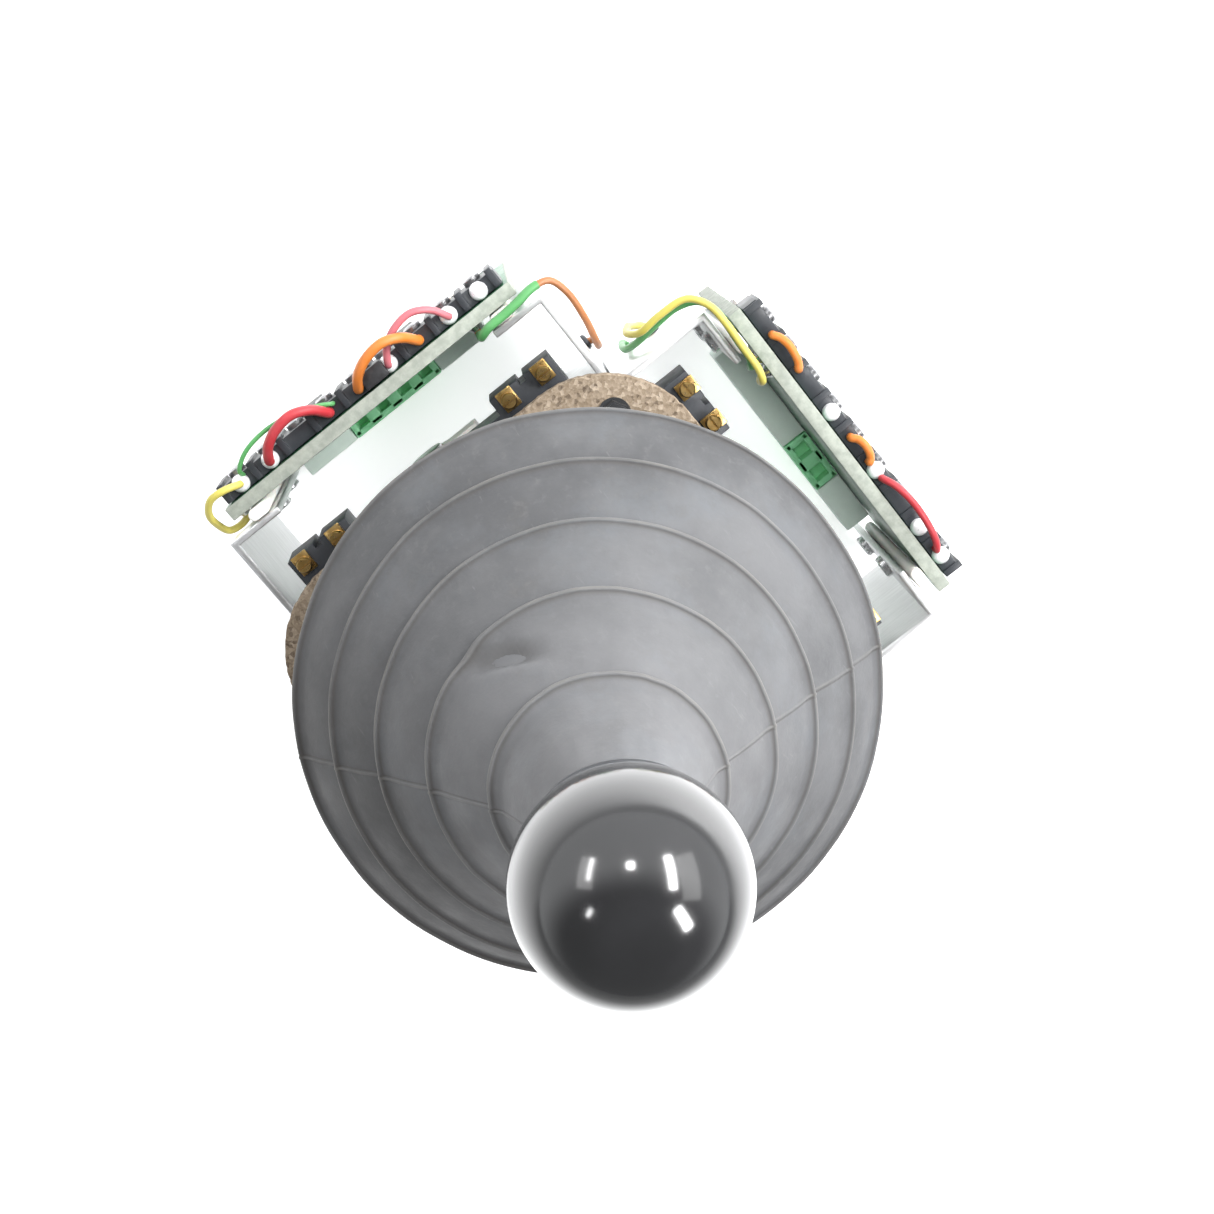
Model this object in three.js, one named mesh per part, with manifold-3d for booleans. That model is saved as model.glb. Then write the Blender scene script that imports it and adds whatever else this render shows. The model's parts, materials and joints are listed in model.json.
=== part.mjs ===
// Two-axis joystick controller: a ball-topped lever on a gimbal under a rubber bellows boot, with a
// contact block and an upright circuit board on each of two neighbouring sides of a square housing.
// Millimetres, +Z up along the lever. The origin is on the lever's axis, at the underside of the base.
import * as THREE from 'three';
import { mergeVertices } from 'three/addons/utils/BufferGeometryUtils.js';
import Module from 'manifold-3d';

const wasm = await Module();
wasm.setup();

// ---------------------------------------------------------------- driving dimensions
const gap = 0.3;                    // clearance between neighbouring pieces
const knobRadius = 19;
const knobHeight = 192.2;           // centre of the ball above the base
const pivotHeight = 42;             // both gimbal axes cross here
const rimHeight = 94;               // the boot's lowest and widest ridge
const ridgeRadius = [59.4, 51.6, 42.3, 32.5, 21.6];
const ridgeRise = [0, 11.5, 23.0, 36.7, 53.0];
const neckRadius = 12;
const neckRise = 73.5;
const housingHalf = 42;
const housingWall = 4;
const plateHalf = 50;
const gasketHalf = 51;
const plateTop = 67;
const boardDistance = 69.2;         // inner face of each circuit board from the lever's axis
const boardLength = 76;
const boardThickness = 3;
const boardTop = 60;
const shaftRadius = 4;              // gimbal shafts
const shaftFront = 53;              // the gimbal shafts' ends
const shaftRear = 56;
const wireRadius = 0.8;

// ---------------------------------------------------------------- materials
const finish = (color, roughness, metalness) =>
  new THREE.MeshStandardMaterial({ color, roughness, metalness });
const steel = () => finish(0x9c9ea0, 0.38, 1);
const aluminium = () => finish(0xc9cbcc, 0.42, 1);
const blackPaint = () => finish(0x1d1e20, 0.5, 0.2);
const blackPlastic = () => finish(0x17181a, 0.45, 0);
const brass = () => finish(0xb78a3c, 0.35, 1);
const rubber = () => finish(0x4a4b4e, 0.75, 0);
const cork = () => finish(0x9a7350, 0.9, 0);
const boardGreen = () => finish(0x2c6b45, 0.45, 0);
const plugGreen = () => finish(0x3fa45c, 0.5, 0);
const nylon = () => finish(0xe8e6dc, 0.5, 0);
const insulation = (color) => finish(color, 0.5, 0);

// ---------------------------------------------------------------- shape helpers
// Merges shared corners and turns the faces outwards.
function closed(geometry) {
  const bare = geometry.index ? geometry.toNonIndexed() : geometry.clone();
  bare.deleteAttribute('normal');
  bare.deleteAttribute('uv');
  const merged = mergeVertices(bare, 1e-4);
  const kept = [];
  const index = merged.index.array;
  for (let i = 0; i < index.length; i += 3) {
    const [a, b, c] = [index[i], index[i + 1], index[i + 2]];
    if (a !== b && b !== c && c !== a) kept.push(a, b, c);
  }
  if (volume(merged.attributes.position, kept) < 0) kept.reverse();
  merged.setIndex(kept);
  return merged;
}

function volume(position, index) {
  const [a, b, c] = [new THREE.Vector3(), new THREE.Vector3(), new THREE.Vector3()];
  let sum = 0;
  for (let i = 0; i < index.length; i += 3) {
    a.fromBufferAttribute(position, index[i]);
    b.fromBufferAttribute(position, index[i + 1]);
    c.fromBufferAttribute(position, index[i + 2]);
    sum += a.dot(b.cross(c)) / 6;
  }
  return sum;
}

function toSolid(geometry) {
  const whole = closed(geometry);
  return new wasm.Manifold(new wasm.Mesh({
    numProp: 3,
    vertProperties: new Float32Array(whole.attributes.position.array),
    triVerts: new Uint32Array(whole.index.array),
  }));
}

function fromSolid(solid) {
  const mesh = solid.getMesh();
  const geometry = new THREE.BufferGeometry();
  geometry.setAttribute('position', new THREE.BufferAttribute(mesh.vertProperties, 3));
  geometry.setIndex(new THREE.BufferAttribute(mesh.triVerts, 1));
  return geometry;
}

// Joins the first list of shapes and cuts the second list out of them.
function carve(joined, cut = []) {
  let solid = toSolid(joined[0]);
  for (const shape of joined.slice(1)) solid = solid.add(toSolid(shape));
  for (const shape of cut) solid = solid.subtract(toSolid(shape));
  return fromSolid(solid);
}

// A box from its low corner to its high corner.
function block(low, high) {
  const size = high.map((value, axis) => value - low[axis]);
  const middle = high.map((value, axis) => (value + low[axis]) / 2);
  return new THREE.BoxGeometry(...size).translate(...middle);
}

function rodAlongX(radius, x0, x1, y, z, sides = 18) {
  return new THREE.CylinderGeometry(radius, radius, x1 - x0, sides)
    .rotateZ(Math.PI / 2).translate((x0 + x1) / 2, y, z);
}

function rodAlongY(radius, x, y0, y1, z, sides = 18) {
  return new THREE.CylinderGeometry(radius, radius, y1 - y0, sides).translate(x, (y0 + y1) / 2, z);
}

function rodAlongZ(radius, x, y, z0, z1, sides = 18) {
  return new THREE.CylinderGeometry(radius, radius, z1 - z0, sides)
    .rotateX(Math.PI / 2).translate(x, y, (z0 + z1) / 2);
}

// Turns a list of [radius, height] about the Z axis.
function turned(profile, sides) {
  const points = profile.map(([radius, height]) => new THREE.Vector2(radius, height));
  return closed(new THREE.LatheGeometry(points, sides).rotateX(Math.PI / 2));
}

function roundedSquare(half, corner) {
  const shape = new THREE.Shape();
  const straight = half - corner;
  shape.moveTo(straight, -half);
  shape.absarc(straight, -straight, corner, -Math.PI / 2, 0);
  shape.absarc(straight, straight, corner, 0, Math.PI / 2);
  shape.absarc(-straight, straight, corner, Math.PI / 2, Math.PI);
  shape.absarc(-straight, -straight, corner, Math.PI, Math.PI * 1.5);
  shape.closePath();
  return shape;
}

function circle(x, y, radius) {
  const path = new THREE.Path();
  path.absarc(x, y, radius, 0, Math.PI * 2, true);
  return path;
}

function plate(shape, z0, z1, curveSegments = 5) {
  const options = { depth: z1 - z0, bevelEnabled: false, curveSegments };
  return closed(new THREE.ExtrudeGeometry(shape, options).translate(0, 0, z0));
}

// A round tube swept along a smooth curve through the points.
function tube(points, radius, sides, steps) {
  const ring = new THREE.Shape(Array.from({ length: sides }, (_, side) => {
    const angle = (side / sides) * Math.PI * 2;
    return new THREE.Vector2(Math.cos(angle) * radius, Math.sin(angle) * radius);
  }));
  const path = new THREE.CatmullRomCurve3(points.map((point) => new THREE.Vector3(...point)));
  return closed(new THREE.ExtrudeGeometry(ring, { steps, extrudePath: path }));
}

function piece(parent, name, geometry, material) {
  const mesh = new THREE.Mesh(closed(geometry), material);
  mesh.name = name;
  parent.add(mesh);
}

const group = new THREE.Group();

// ---------------------------------------------------------------- base, housing and mounting plate
const coverTop = 2;
const gateBottom = coverTop + gap;
const gateTop = gateBottom + 3;
const housingBottom = gateTop + gap;
const plateBottom = plateTop - 4;
const housingTop = plateBottom - gap;
const gasketBottom = plateTop + gap;
const gasketTop = 70;
const housingCorner = 5;
const bushingHole = 7.3;

piece(group, 'base_cover', plate(roundedSquare(housingHalf, housingCorner), 0, coverTop), steel());

// The square opening stops the lever's tail at the end of its travel.
const gateShape = roundedSquare(housingHalf, housingCorner);
gateShape.holes.push(roundedSquare(15.6, 3));
piece(group, 'gate_plate', plate(gateShape, gateBottom, gateTop), steel());

function housing() {
  const shape = roundedSquare(housingHalf, housingCorner);
  shape.holes.push(roundedSquare(housingHalf - housingWall, housingCorner - 2));
  const reach = housingHalf + 2;
  return carve([plate(shape, housingBottom, housingTop)], [
    rodAlongX(bushingHole, -reach, reach, 0, pivotHeight),
    rodAlongY(bushingHole, 0, -reach, reach, pivotHeight),
  ]);
}
piece(group, 'housing', housing(), aluminium());

function squareFlange(half, corner, opening, z0, z1) {
  const boltPlace = 38.5;
  const shape = roundedSquare(half, corner);
  shape.holes.push(circle(0, 0, opening));
  for (const x of [-boltPlace, boltPlace]) {
    for (const y of [-boltPlace, boltPlace]) shape.holes.push(circle(x, y, 2.6));
  }
  return plate(shape, z0, z1);
}
piece(group, 'mounting_plate', squareFlange(plateHalf, 22, 21, plateBottom, plateTop), blackPaint());
piece(group, 'cork_gasket', squareFlange(gasketHalf, 22.5, 24, gasketBottom, gasketTop), cork());

// ---------------------------------------------------------------- rubber boot and its clamp ring
const cuffRadius = 47;
const cuffBottom = gasketTop + gap;

piece(group, 'boot_clamp_ring', turned([
  [cuffRadius + gap, cuffBottom],
  [50.5, cuffBottom],
  [50.5, cuffBottom + 6],
  [49.3, cuffBottom + 7.2],
  [cuffRadius + gap, cuffBottom + 7.2],
  [cuffRadius + gap, cuffBottom],
], 32), blackPaint());

// Five conical tiers; every tier starts at a lip that overhangs the slope below it.
function bootProfile() {
  const wall = 2;
  const lip = 0.9;
  const outer = [[cuffRadius, cuffBottom], [cuffRadius, rimHeight - 14], [54, rimHeight - 7]];
  const inner = [[cuffRadius - wall, cuffBottom], [cuffRadius - wall, rimHeight - 13]];
  ridgeRadius.forEach((radius, tier) => {
    const height = rimHeight + ridgeRise[tier];
    outer.push([radius - lip, height - 1.5], [radius, height - 0.6], [radius - 1.1, height + lip]);
    inner.push([radius - wall - 1, height - 0.5]);
  });
  const neckTop = rimHeight + neckRise;
  const bore = 5 + 0.4;
  outer.push([neckRadius, neckTop], [neckRadius - 1, neckTop + 0.7], [bore, neckTop + 0.7]);
  inner.push([neckRadius - wall - 0.4, neckTop - 2], [bore, neckTop - 2]);
  return [...outer, ...inner.reverse(), outer[0]];
}
piece(group, 'rubber_boot', turned(bootProfile(), 32), rubber());

// ---------------------------------------------------------------- lever, pivot block and knob
const leverRadius = 5;
const tailRadius = 3;
const pinRadius = 3;
const blockHalf = [11, 9, 9];
const tailTop = pivotHeight - blockHalf[2];
const shoulder = rimHeight + 77;
const knobFlat = 175;

const pinHole = rodAlongY(pinRadius + gap, 0, -20, 20, pivotHeight);
const blockLow = [-blockHalf[0], -blockHalf[1], pivotHeight - blockHalf[2]];
const blockHigh = [blockHalf[0], blockHalf[1], pivotHeight + blockHalf[2]];
const blockBore = rodAlongZ(leverRadius + gap, 0, 0, tailTop - 1, pivotHeight + 20);
piece(group, 'pivot_block', carve([block(blockLow, blockHigh)], [blockBore, pinHole]), steel());
piece(group, 'pivot_pin', rodAlongY(pinRadius, 0, -17.6, 17.6, pivotHeight), steel());

const leverProfile = [
  [0, 4], [tailRadius - 0.6, 4], [tailRadius, 4.6], [tailRadius, tailTop], [leverRadius, tailTop],
  [leverRadius, shoulder], [shaftRadius, shoulder], [shaftRadius, 186.4], [3.4, 187], [0, 187],
];
piece(group, 'lever_shaft', carve([turned(leverProfile, 18)], [pinHole]), steel());

// Points on the ball's circle, enlarged by an allowance, between two radii below its centre.
function ballArc(allowance, fromRadius, toRadius, count) {
  const radius = knobRadius + allowance;
  return Array.from({ length: count }, (_, step) => {
    const across = fromRadius + ((toRadius - fromRadius) * step) / (count - 1);
    return [across, knobHeight - Math.sqrt(radius * radius - across * across)];
  });
}

function knobProfile() {
  const bore = shaftRadius + gap;
  const start = Math.acos((knobHeight - knobFlat) / knobRadius);
  const profile = [[0, 188], [bore, 188], [bore, knobFlat]];
  const steps = 12;
  for (let step = 0; step <= steps; step += 1) {
    const angle = start + ((Math.PI - start) * step) / steps;
    const radius = step === steps ? 0 : knobRadius * Math.sin(angle);
    profile.push([radius, knobHeight - knobRadius * Math.cos(angle)]);
  }
  return profile;
}
piece(group, 'ball_knob', turned(knobProfile(), 24), finish(0x0b0b0c, 0.08, 0));

// A black cup that the ball screws down onto.
const cupBottom = rimHeight + neckRise + 1.1;
const cupInside = ballArc(0.4, 9, 16, 4);
const cupProfile = [
  [leverRadius + gap, cupBottom], [9.5, cupBottom], [11.5, cupBottom + 3], [14.8, cupBottom + 8.5],
  [16.6, 180.6], [16.7, 182.2], ...cupInside.reverse(), [8.6, cupBottom + 2],
  [leverRadius + gap, cupBottom + 2], [leverRadius + gap, cupBottom],
];
piece(group, 'knob_cup', turned(cupProfile, 24), blackPlastic());

// ---------------------------------------------------------------- one side of the controller
// In a side's own frame +Y points out towards its circuit board and the gimbal shaft lies along Y.
const sideTurns = { y: 0, x: -Math.PI / 2 };

function bushing(direction) {
  const [inside, outside] = [housingHalf - housingWall - 0.6, housingHalf];
  const ring = turned([
    [shaftRadius + 0.2, inside], [7, inside], [7, outside + gap], [9.5, outside + gap],
    [9.5, outside + 1.6], [shaftRadius + 0.2, outside + 1.6], [shaftRadius + 0.2, inside],
  ], 18);
  return ring.rotateX(direction * -Math.PI / 2).translate(0, 0, pivotHeight);
}

const bracketFace = housingHalf + gap;
const sheet = 1.5;
const armEnd = 66;
const flangeInner = 29;

function boardBracket() {
  const half = housingHalf;
  const [inside, lip] = [half - sheet, armEnd - sheet];
  const right = [[half, armEnd], [flangeInner, armEnd], [flangeInner, lip], [inside, lip]];
  const corner = [inside, bracketFace + sheet];
  const rightSide = [[half, bracketFace], ...right, corner];
  const leftSide = rightSide.map(([x, y]) => [-x, y]).reverse();
  const outline = [...rightSide, ...leftSide].map(([x, y]) => new THREE.Vector2(x, y));
  const body = plate(new THREE.Shape(outline), 8, boardTop);
  return carve([body], [rodAlongY(10.5, 0, bracketFace - 2, bracketFace + 4, pivotHeight)]);
}

const contactInner = bracketFace + sheet + gap;
const contactOuter = 55.4;
const contactBottom = 50;
const contactTop = 61.5;
const plungerPlace = 9;             // distance of each plunger from the shaft's axis
const plungerDepth = 49;
const plungerRadius = 1.5;
const rockerHalfHeight = 3.5;

// Two end housings for the terminals, joined by a narrower middle over the plungers.
function contactBlock() {
  const body = block([-35, contactInner, contactBottom], [35, contactOuter, contactTop]);
  const bores = [-plungerPlace, plungerPlace].map((x) =>
    rodAlongZ(plungerRadius + 0.4, x, plungerDepth, contactBottom - 1, contactTop - 2, 16));
  const notches = [-27.5, 27.5].map((x) =>
    block([x - 0.8, contactOuter - 1.2, contactBottom - 1], [x + 0.8, contactOuter + 1, contactTop + 1]));
  const recess = block([-19.5, 51.8, contactBottom - 1], [19.5, contactOuter + 1, contactTop + 1]);
  return carve([body], [...bores, ...notches, recess]);
}

function contactTerminal(x) {
  const low = contactTop + gap;
  const tab = block([x - 1.9, 51.2, low], [x + 1.9, 55.8, low + 0.9]);
  return carve([tab, rodAlongZ(1.7, x, 53.3, low, low + 2.8, 12)]);
}

function plunger(x) {
  const tip = pivotHeight + rockerHalfHeight + 0.5;
  const profile = [[0, tip]];
  for (const angle of [30, 60, 90]) {
    const turn = THREE.MathUtils.degToRad(angle);
    profile.push([plungerRadius * Math.sin(turn), tip + plungerRadius * (1 - Math.cos(turn))]);
  }
  profile.push([plungerRadius, 56], [0, 56]);
  return turned(profile, 12).translate(x, plungerDepth, 0);
}

function rocker() {
  const z = pivotHeight;
  const bar = block([-13, 46, z - rockerHalfHeight], [13, 52, z + rockerHalfHeight]);
  const bore = rodAlongY(shaftRadius + gap, 0, 45, 53, z);
  return carve([bar, rodAlongY(6.6, 0, 46, 52, z)], [bore]);
}

const armPin = 9.5;                 // height of the moving pin above the shaft's axis
const fixedPost = 14.5;             // height of the fixed post above the shaft's axis
const armFace = -48;

function centringArm() {
  const hub = rodAlongY(6.5, 0, armFace, armFace + 3, pivotHeight);
  const arm = block([-2.8, armFace, pivotHeight], [2.8, armFace + 3, pivotHeight + armPin]);
  const pin = rodAlongY(2.8, 0, -55, armFace + 3, pivotHeight + armPin, 16);
  const bore = rodAlongY(shaftRadius + gap, 0, armFace - 1, armFace + 4, pivotHeight);
  return carve([hub, arm, pin], [bore]);
}

// A hairpin spring: coils round the shaft, with both legs gripping the pin and the post.
function centringSpring() {
  const coil = 5.7;
  const [first, last] = [-49.8, -54.2];
  const turns = 2.5;
  const perTurn = 12;
  const points = [[2.75, first, 16.5], [4.2, first, 8.2]];
  for (let step = 0; step <= turns * perTurn; step += 1) {
    const along = step / (turns * perTurn);
    const angle = -along * turns * Math.PI * 2;
    points.push([coil * Math.cos(angle), first + (last - first) * along, coil * Math.sin(angle)]);
  }
  points.push([-4.2, last, 8.2], [-2.75, last, 16.5]);
  return tube(points.map(([x, y, z]) => [x, y, z + pivotHeight]), 0.6, 6, 44);
}

function springCover() {
  const [mouth, floor] = [-housingHalf - gap, -56.5];
  const z = pivotHeight;
  const cup = rodAlongY(20, 0, floor - 2, mouth, z, 28);
  const ears = block([-28, mouth - 2.5, z - 6], [28, mouth, z + 6]);
  const hollow = rodAlongY(18, 0, floor, mouth + 1, z, 28);
  const post = rodAlongY(1.9, 0, floor - 1, -49.3, z + fixedPost, 12);
  return carve([fromSolid(toSolid(cup).add(toSolid(ears)).subtract(toSolid(hollow))), post]);
}

function circuitBoard() {
  const half = boardLength / 2;
  return block([-half, boardDistance, 4], [half, boardDistance + boardThickness, boardTop]);
}

const spacerPlace = 32.5;

function boardSpacer(x) {
  const depth = boardDistance - armEnd - 2 * gap;
  const shape = new THREE.Shape();
  shape.absarc(0, 0, depth / 2, -Math.PI / 2, Math.PI / 2);
  shape.absarc(-2.5, 0, depth / 2, Math.PI / 2, Math.PI * 1.5);
  const middle = armEnd + gap + depth / 2;
  return plate(shape, 10, boardTop + 1, 5).translate(x + 1.25, middle, 0);
}

const stripInner = boardDistance + boardThickness + gap;
const stripTop = 58;
const bayPitch = 8;

// A barrier strip: raised walls between the screw bays.
function wiringStrip() {
  const body = block([-37, stripInner, 47], [37, 76, stripTop]);
  const walls = Array.from({ length: 10 }, (_, wall) => {
    const x = (wall - 4.5) * bayPitch;
    return block([x - 0.75, stripInner, 47], [x + 0.75, 76.8, stripTop + 0.7]);
  });
  return carve([body, ...walls]);
}

// The long terminal block at the foot of the board, with a row of wire holes in its top.
function boardPlug() {
  const outer = boardDistance - gap;
  const depth = 6.3;
  const body = block([-26, outer - depth, 8], [26, outer, 20]);
  const holes = [-9.6, -3.2, 3.2, 9.6].map((x) =>
    block([x - 1.5, outer - depth + 1.6, 16], [x + 1.5, outer - 1.6, 21]));
  return carve([body], holes);
}

function addSide(axis) {
  const side = new THREE.Group();
  side.rotation.z = sideTurns[axis];
  group.add(side);
  piece(side, `bushing_${axis}_front`, bushing(1), brass());
  piece(side, `bushing_${axis}_rear`, bushing(-1), brass());
  piece(side, `board_bracket_${axis}`, boardBracket(), aluminium());
  piece(side, `contact_block_${axis}`, contactBlock(), blackPlastic());
  [-32, -23, 23, 32].forEach((x, place) => {
    piece(side, `contact_terminal_${axis}_${place + 1}`, contactTerminal(x), brass());
  });
  piece(side, `plunger_${axis}_1`, plunger(-plungerPlace), nylon());
  piece(side, `plunger_${axis}_2`, plunger(plungerPlace), nylon());
  piece(side, `rocker_${axis}`, rocker(), nylon());
  piece(side, `centring_arm_${axis}`, centringArm(), steel());
  piece(side, `centring_spring_${axis}`, centringSpring(), steel());
  piece(side, `spring_cover_${axis}`, springCover(), blackPlastic());
  piece(side, `circuit_board_${axis}`, circuitBoard(), boardGreen());
  piece(side, `board_spacer_${axis}_1`, boardSpacer(-spacerPlace), nylon());
  piece(side, `board_spacer_${axis}_2`, boardSpacer(spacerPlace), nylon());
  piece(side, `wiring_strip_${axis}`, wiringStrip(), blackPlastic());
  piece(side, `board_plug_${axis}`, boardPlug(), plugGreen());
  return side;
}

const sideY = addSide('y');
const sideX = addSide('x');

// ---------------------------------------------------------------- gimbal
// The yoke turns about X and carries the pivot block's pin.
function gimbalYoke() {
  const z = pivotHeight;
  const frame = block([-18, -24, z - 6], [18, 24, z + 6]);
  const opening = block([-11.5, -16.5, z - 7], [11.5, 16.5, z + 7]);
  const pinBore = rodAlongX(pinRadius + 0.2, -20, 20, 0, z);
  const front = rodAlongY(shaftRadius, 0, 20, shaftFront, z);
  const rear = rodAlongY(shaftRadius, 0, -shaftRear, -20, z);
  return carve([frame, front, rear], [opening, pinBore]);
}
piece(sideX, 'gimbal_yoke', gimbalYoke(), steel());

// The bail turns about Y; the lever's tail slides along its slot.
function slottedBail() {
  const [inner, outer, lug, halfWidth] = [27, 31, 5, 8];
  const shape = new THREE.Shape();
  shape.moveTo(inner, lug);
  shape.lineTo(outer, lug);
  shape.absarc(0, 0, outer, 0, -Math.PI, true);
  shape.lineTo(-outer, lug);
  shape.lineTo(-inner, lug);
  shape.absarc(0, 0, inner, Math.PI, Math.PI * 2, false);
  shape.closePath();
  const strap = plate(shape, -halfWidth, halfWidth, 9).rotateX(Math.PI / 2).rotateZ(Math.PI / 2);
  const slot = block([-4.2, -15, -40], [4.2, 15, -10]);
  const front = rodAlongY(shaftRadius, 0, inner + 1, shaftFront, 0);
  const rear = rodAlongY(shaftRadius, 0, -shaftRear, -inner - 1, 0);
  return carve([strap, front, rear], [slot]).translate(0, 0, pivotHeight);
}
piece(sideY, 'slotted_bail', slottedBail(), steel());

// ---------------------------------------------------------------- wires
// Jumpers arch over the wiring strips. The link wires leave the boards' inner faces, cross the spacers
// and go down into the brackets at the corner between the two boards.
const bayDepth = 74.3;
const wireStart = stripTop + gap;

// An arch between two places along a strip, leaning out by a distance and up by a height.
function jumper(from, to, out, up) {
  const span = to - from;
  return [
    [from, bayDepth, wireStart],
    [from, bayDepth, wireStart + 1.5],
    [from + span * 0.12, bayDepth + out * 0.6, wireStart + up * 0.75],
    [from + span * 0.35, bayDepth + out, wireStart + up],
    [from + span * 0.65, bayDepth + out * 0.9, wireStart + up * 0.95],
    [to - span * 0.12, bayDepth + out * 0.5, wireStart + up * 0.7],
    [to, bayDepth, wireStart + 1.5],
    [to, bayDepth, wireStart],
  ];
}

const yellowLoop = [
  [-32, 74.3, 58.3], [-32.1, 74.5, 60.2], [-35, 75.6, 61.9], [-38.6, 75.7, 61.2], [-41.4, 73.4, 58.8],
  [-42, 70.4, 56], [-41.3, 67.7, 53.6], [-38.6, 67.1, 52.6], [-36.7, 67.7, 52.4], [-36.5, 68.9, 52.4],
];
const brownWire = [
  [26.5, 68.9, 55.6], [26.5, 67.2, 55.9], [26.5, 66.6, 58.4], [27, 66.9, 61.2], [29, 67.5, 62.5],
  [32.5, 67.6, 62.7], [37, 67.9, 62.8],
  [41.4, 68.3, 62.4], [44.8, 67.2, 61.4], [46.2, 63, 60], [45.8, 56.5, 57.6], [44.8, 51.5, 53.5],
  [44.2, 48.6, 47], [44.3, 48.2, 40], [44, 48.8, 36.4], [42.4, 49.4, 35.6],
];
const greenWire = [
  [68.9, 26.5, 55.6], [67.2, 26.5, 55.9], [66.6, 26.5, 58.4], [66.9, 27, 61.2], [67.5, 29, 62.5],
  [67.6, 32.5, 62.7], [67.9, 37, 62.8],
  [67.9, 41.2, 62.3], [66.2, 44.6, 61.2], [62, 46.2, 60], [56.5, 45.8, 57.6], [51.5, 44.8, 53.5],
  [48.4, 44.2, 47], [48, 44.3, 40], [48.6, 44, 35.4], [49.2, 42.4, 34.6],
];
const yellowWire = [
  [68.9, 22.9, 55.6], [67.2, 22.9, 55.9], [66.4, 22.9, 59], [66.8, 23.4, 62.6], [67.5, 26.4, 64.3],
  [67.7, 32, 64.6], [67.9, 38, 64.7],
  [67.4, 43, 64], [64.6, 46.8, 63], [58, 47.4, 61.6], [53, 46.8, 59.4], [50.6, 47.6, 54],
  [51.6, 47.8, 47], [52.4, 46.4, 40.6], [54.4, 44.4, 37.2], [55, 42.4, 37],
];

const wireStep = 3.4;
const runLength = (points) => points.slice(1).reduce((sum, point, i) =>
  sum + new THREE.Vector3(...point).distanceTo(new THREE.Vector3(...points[i])), 0);
function wire(name, points, color) {
  const steps = Math.ceil(runLength(points) / wireStep);
  piece(group, name, tube(points, wireRadius, 8, steps), insulation(color));
}
const swapped = (points) => points.map(([x, y, z]) => [y, x, z]);

wire('pink_jumper_y', jumper(24, 8, 5.6, 4.2), 0xc9586a);
wire('orange_jumper_y', jumper(16, 0, 4.6, 6.6), 0xe07a2a);
wire('red_jumper_y', jumper(-8, -24, 4.8, 6), 0xb3262c);
wire('yellow_loop_y', yellowLoop, 0xd9c24a);
wire('brown_link_wire', brownWire, 0x9a5a34);
wire('green_link_wire', greenWire, 0x5f9a4a);
wire('yellow_link_wire', yellowWire, 0xdcd06a);
wire('red_jumper_x', swapped(jumper(-10, -30, 1.9, 4.6)), 0xb3262c);

export default group;
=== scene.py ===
"""Looks of a two-axis joystick controller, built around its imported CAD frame. Lengths are in millimetres
until a mesh is made, and +Z is up along the lever."""
import json
import math

import bmesh
import bpy
from mathutils import Matrix, Vector, noise

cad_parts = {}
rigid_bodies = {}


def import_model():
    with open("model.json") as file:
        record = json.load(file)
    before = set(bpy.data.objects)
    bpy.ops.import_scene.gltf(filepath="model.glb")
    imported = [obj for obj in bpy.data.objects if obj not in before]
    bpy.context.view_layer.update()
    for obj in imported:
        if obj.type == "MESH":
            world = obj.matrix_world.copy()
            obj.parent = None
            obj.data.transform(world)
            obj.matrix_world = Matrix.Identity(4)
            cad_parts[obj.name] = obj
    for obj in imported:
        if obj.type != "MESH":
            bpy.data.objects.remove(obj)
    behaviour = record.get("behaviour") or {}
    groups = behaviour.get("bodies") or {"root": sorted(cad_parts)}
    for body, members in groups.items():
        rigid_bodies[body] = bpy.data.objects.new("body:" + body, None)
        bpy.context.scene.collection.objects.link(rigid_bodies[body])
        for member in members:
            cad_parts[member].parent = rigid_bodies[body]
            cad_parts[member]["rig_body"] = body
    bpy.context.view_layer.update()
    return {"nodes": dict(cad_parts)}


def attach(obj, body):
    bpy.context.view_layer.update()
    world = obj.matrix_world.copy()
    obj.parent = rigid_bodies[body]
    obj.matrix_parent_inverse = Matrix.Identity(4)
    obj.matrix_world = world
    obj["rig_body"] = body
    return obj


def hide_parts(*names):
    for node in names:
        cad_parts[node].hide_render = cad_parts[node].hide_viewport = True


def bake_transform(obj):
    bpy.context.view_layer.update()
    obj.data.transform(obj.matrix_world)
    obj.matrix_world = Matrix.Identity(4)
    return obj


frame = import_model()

MM = 0.001
nodes = frame["nodes"]

# ---- driving dimensions, as in the CAD
KNOB_RADIUS, KNOB_HEIGHT, KNOB_FLAT = 19.0, 192.2, 175.0
CUP_FOOT = 168.6
RIM_HEIGHT = 94.0
RIDGE_RADIUS = (59.4, 51.6, 42.3, 32.5, 21.6)
RIDGE_RISE = (0.0, 11.5, 23.0, 36.7, 53.0)
NECK_FOOT, NECK_TOP = 165.5, 168.2
CLAMP_FOOT, CLAMP_TOP = 70.3, 77.5
PIVOT = 42.0
GASKET_LOW, GASKET_TOP = 67.3, 70.0
PLATE_LOW, PLATE_TOP = 63.0, 67.0
BOLTS = [(x, y) for x in (-38.5, 38.5) for y in (-38.5, 38.5)]
BOARD_INNER, BOARD_OUTER = 69.2, 72.2
BOARD_LENGTH, BOARD_TOP = 76.0, 60.0
STRIP_FACE, STRIP_TOP, BAY_PITCH, BAY_DEPTH = 76.0, 58.0, 8.0, 74.3
TERMINAL_TOP = 62.7
WIRE_START = STRIP_TOP + 0.3
WIRE_RADIUS, THICK_RADIUS = 0.8, 1.1
LINK_HEIGHT, BROWN_PLACE, GREEN_PLACE, YELLOW_PLACE = 55.6, 26.5, 26.5, 22.9


def placed(name, data):
    """A new object in the scene."""
    made = bpy.data.objects.new(name, data)
    bpy.context.scene.collection.objects.link(made)
    return made


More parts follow.
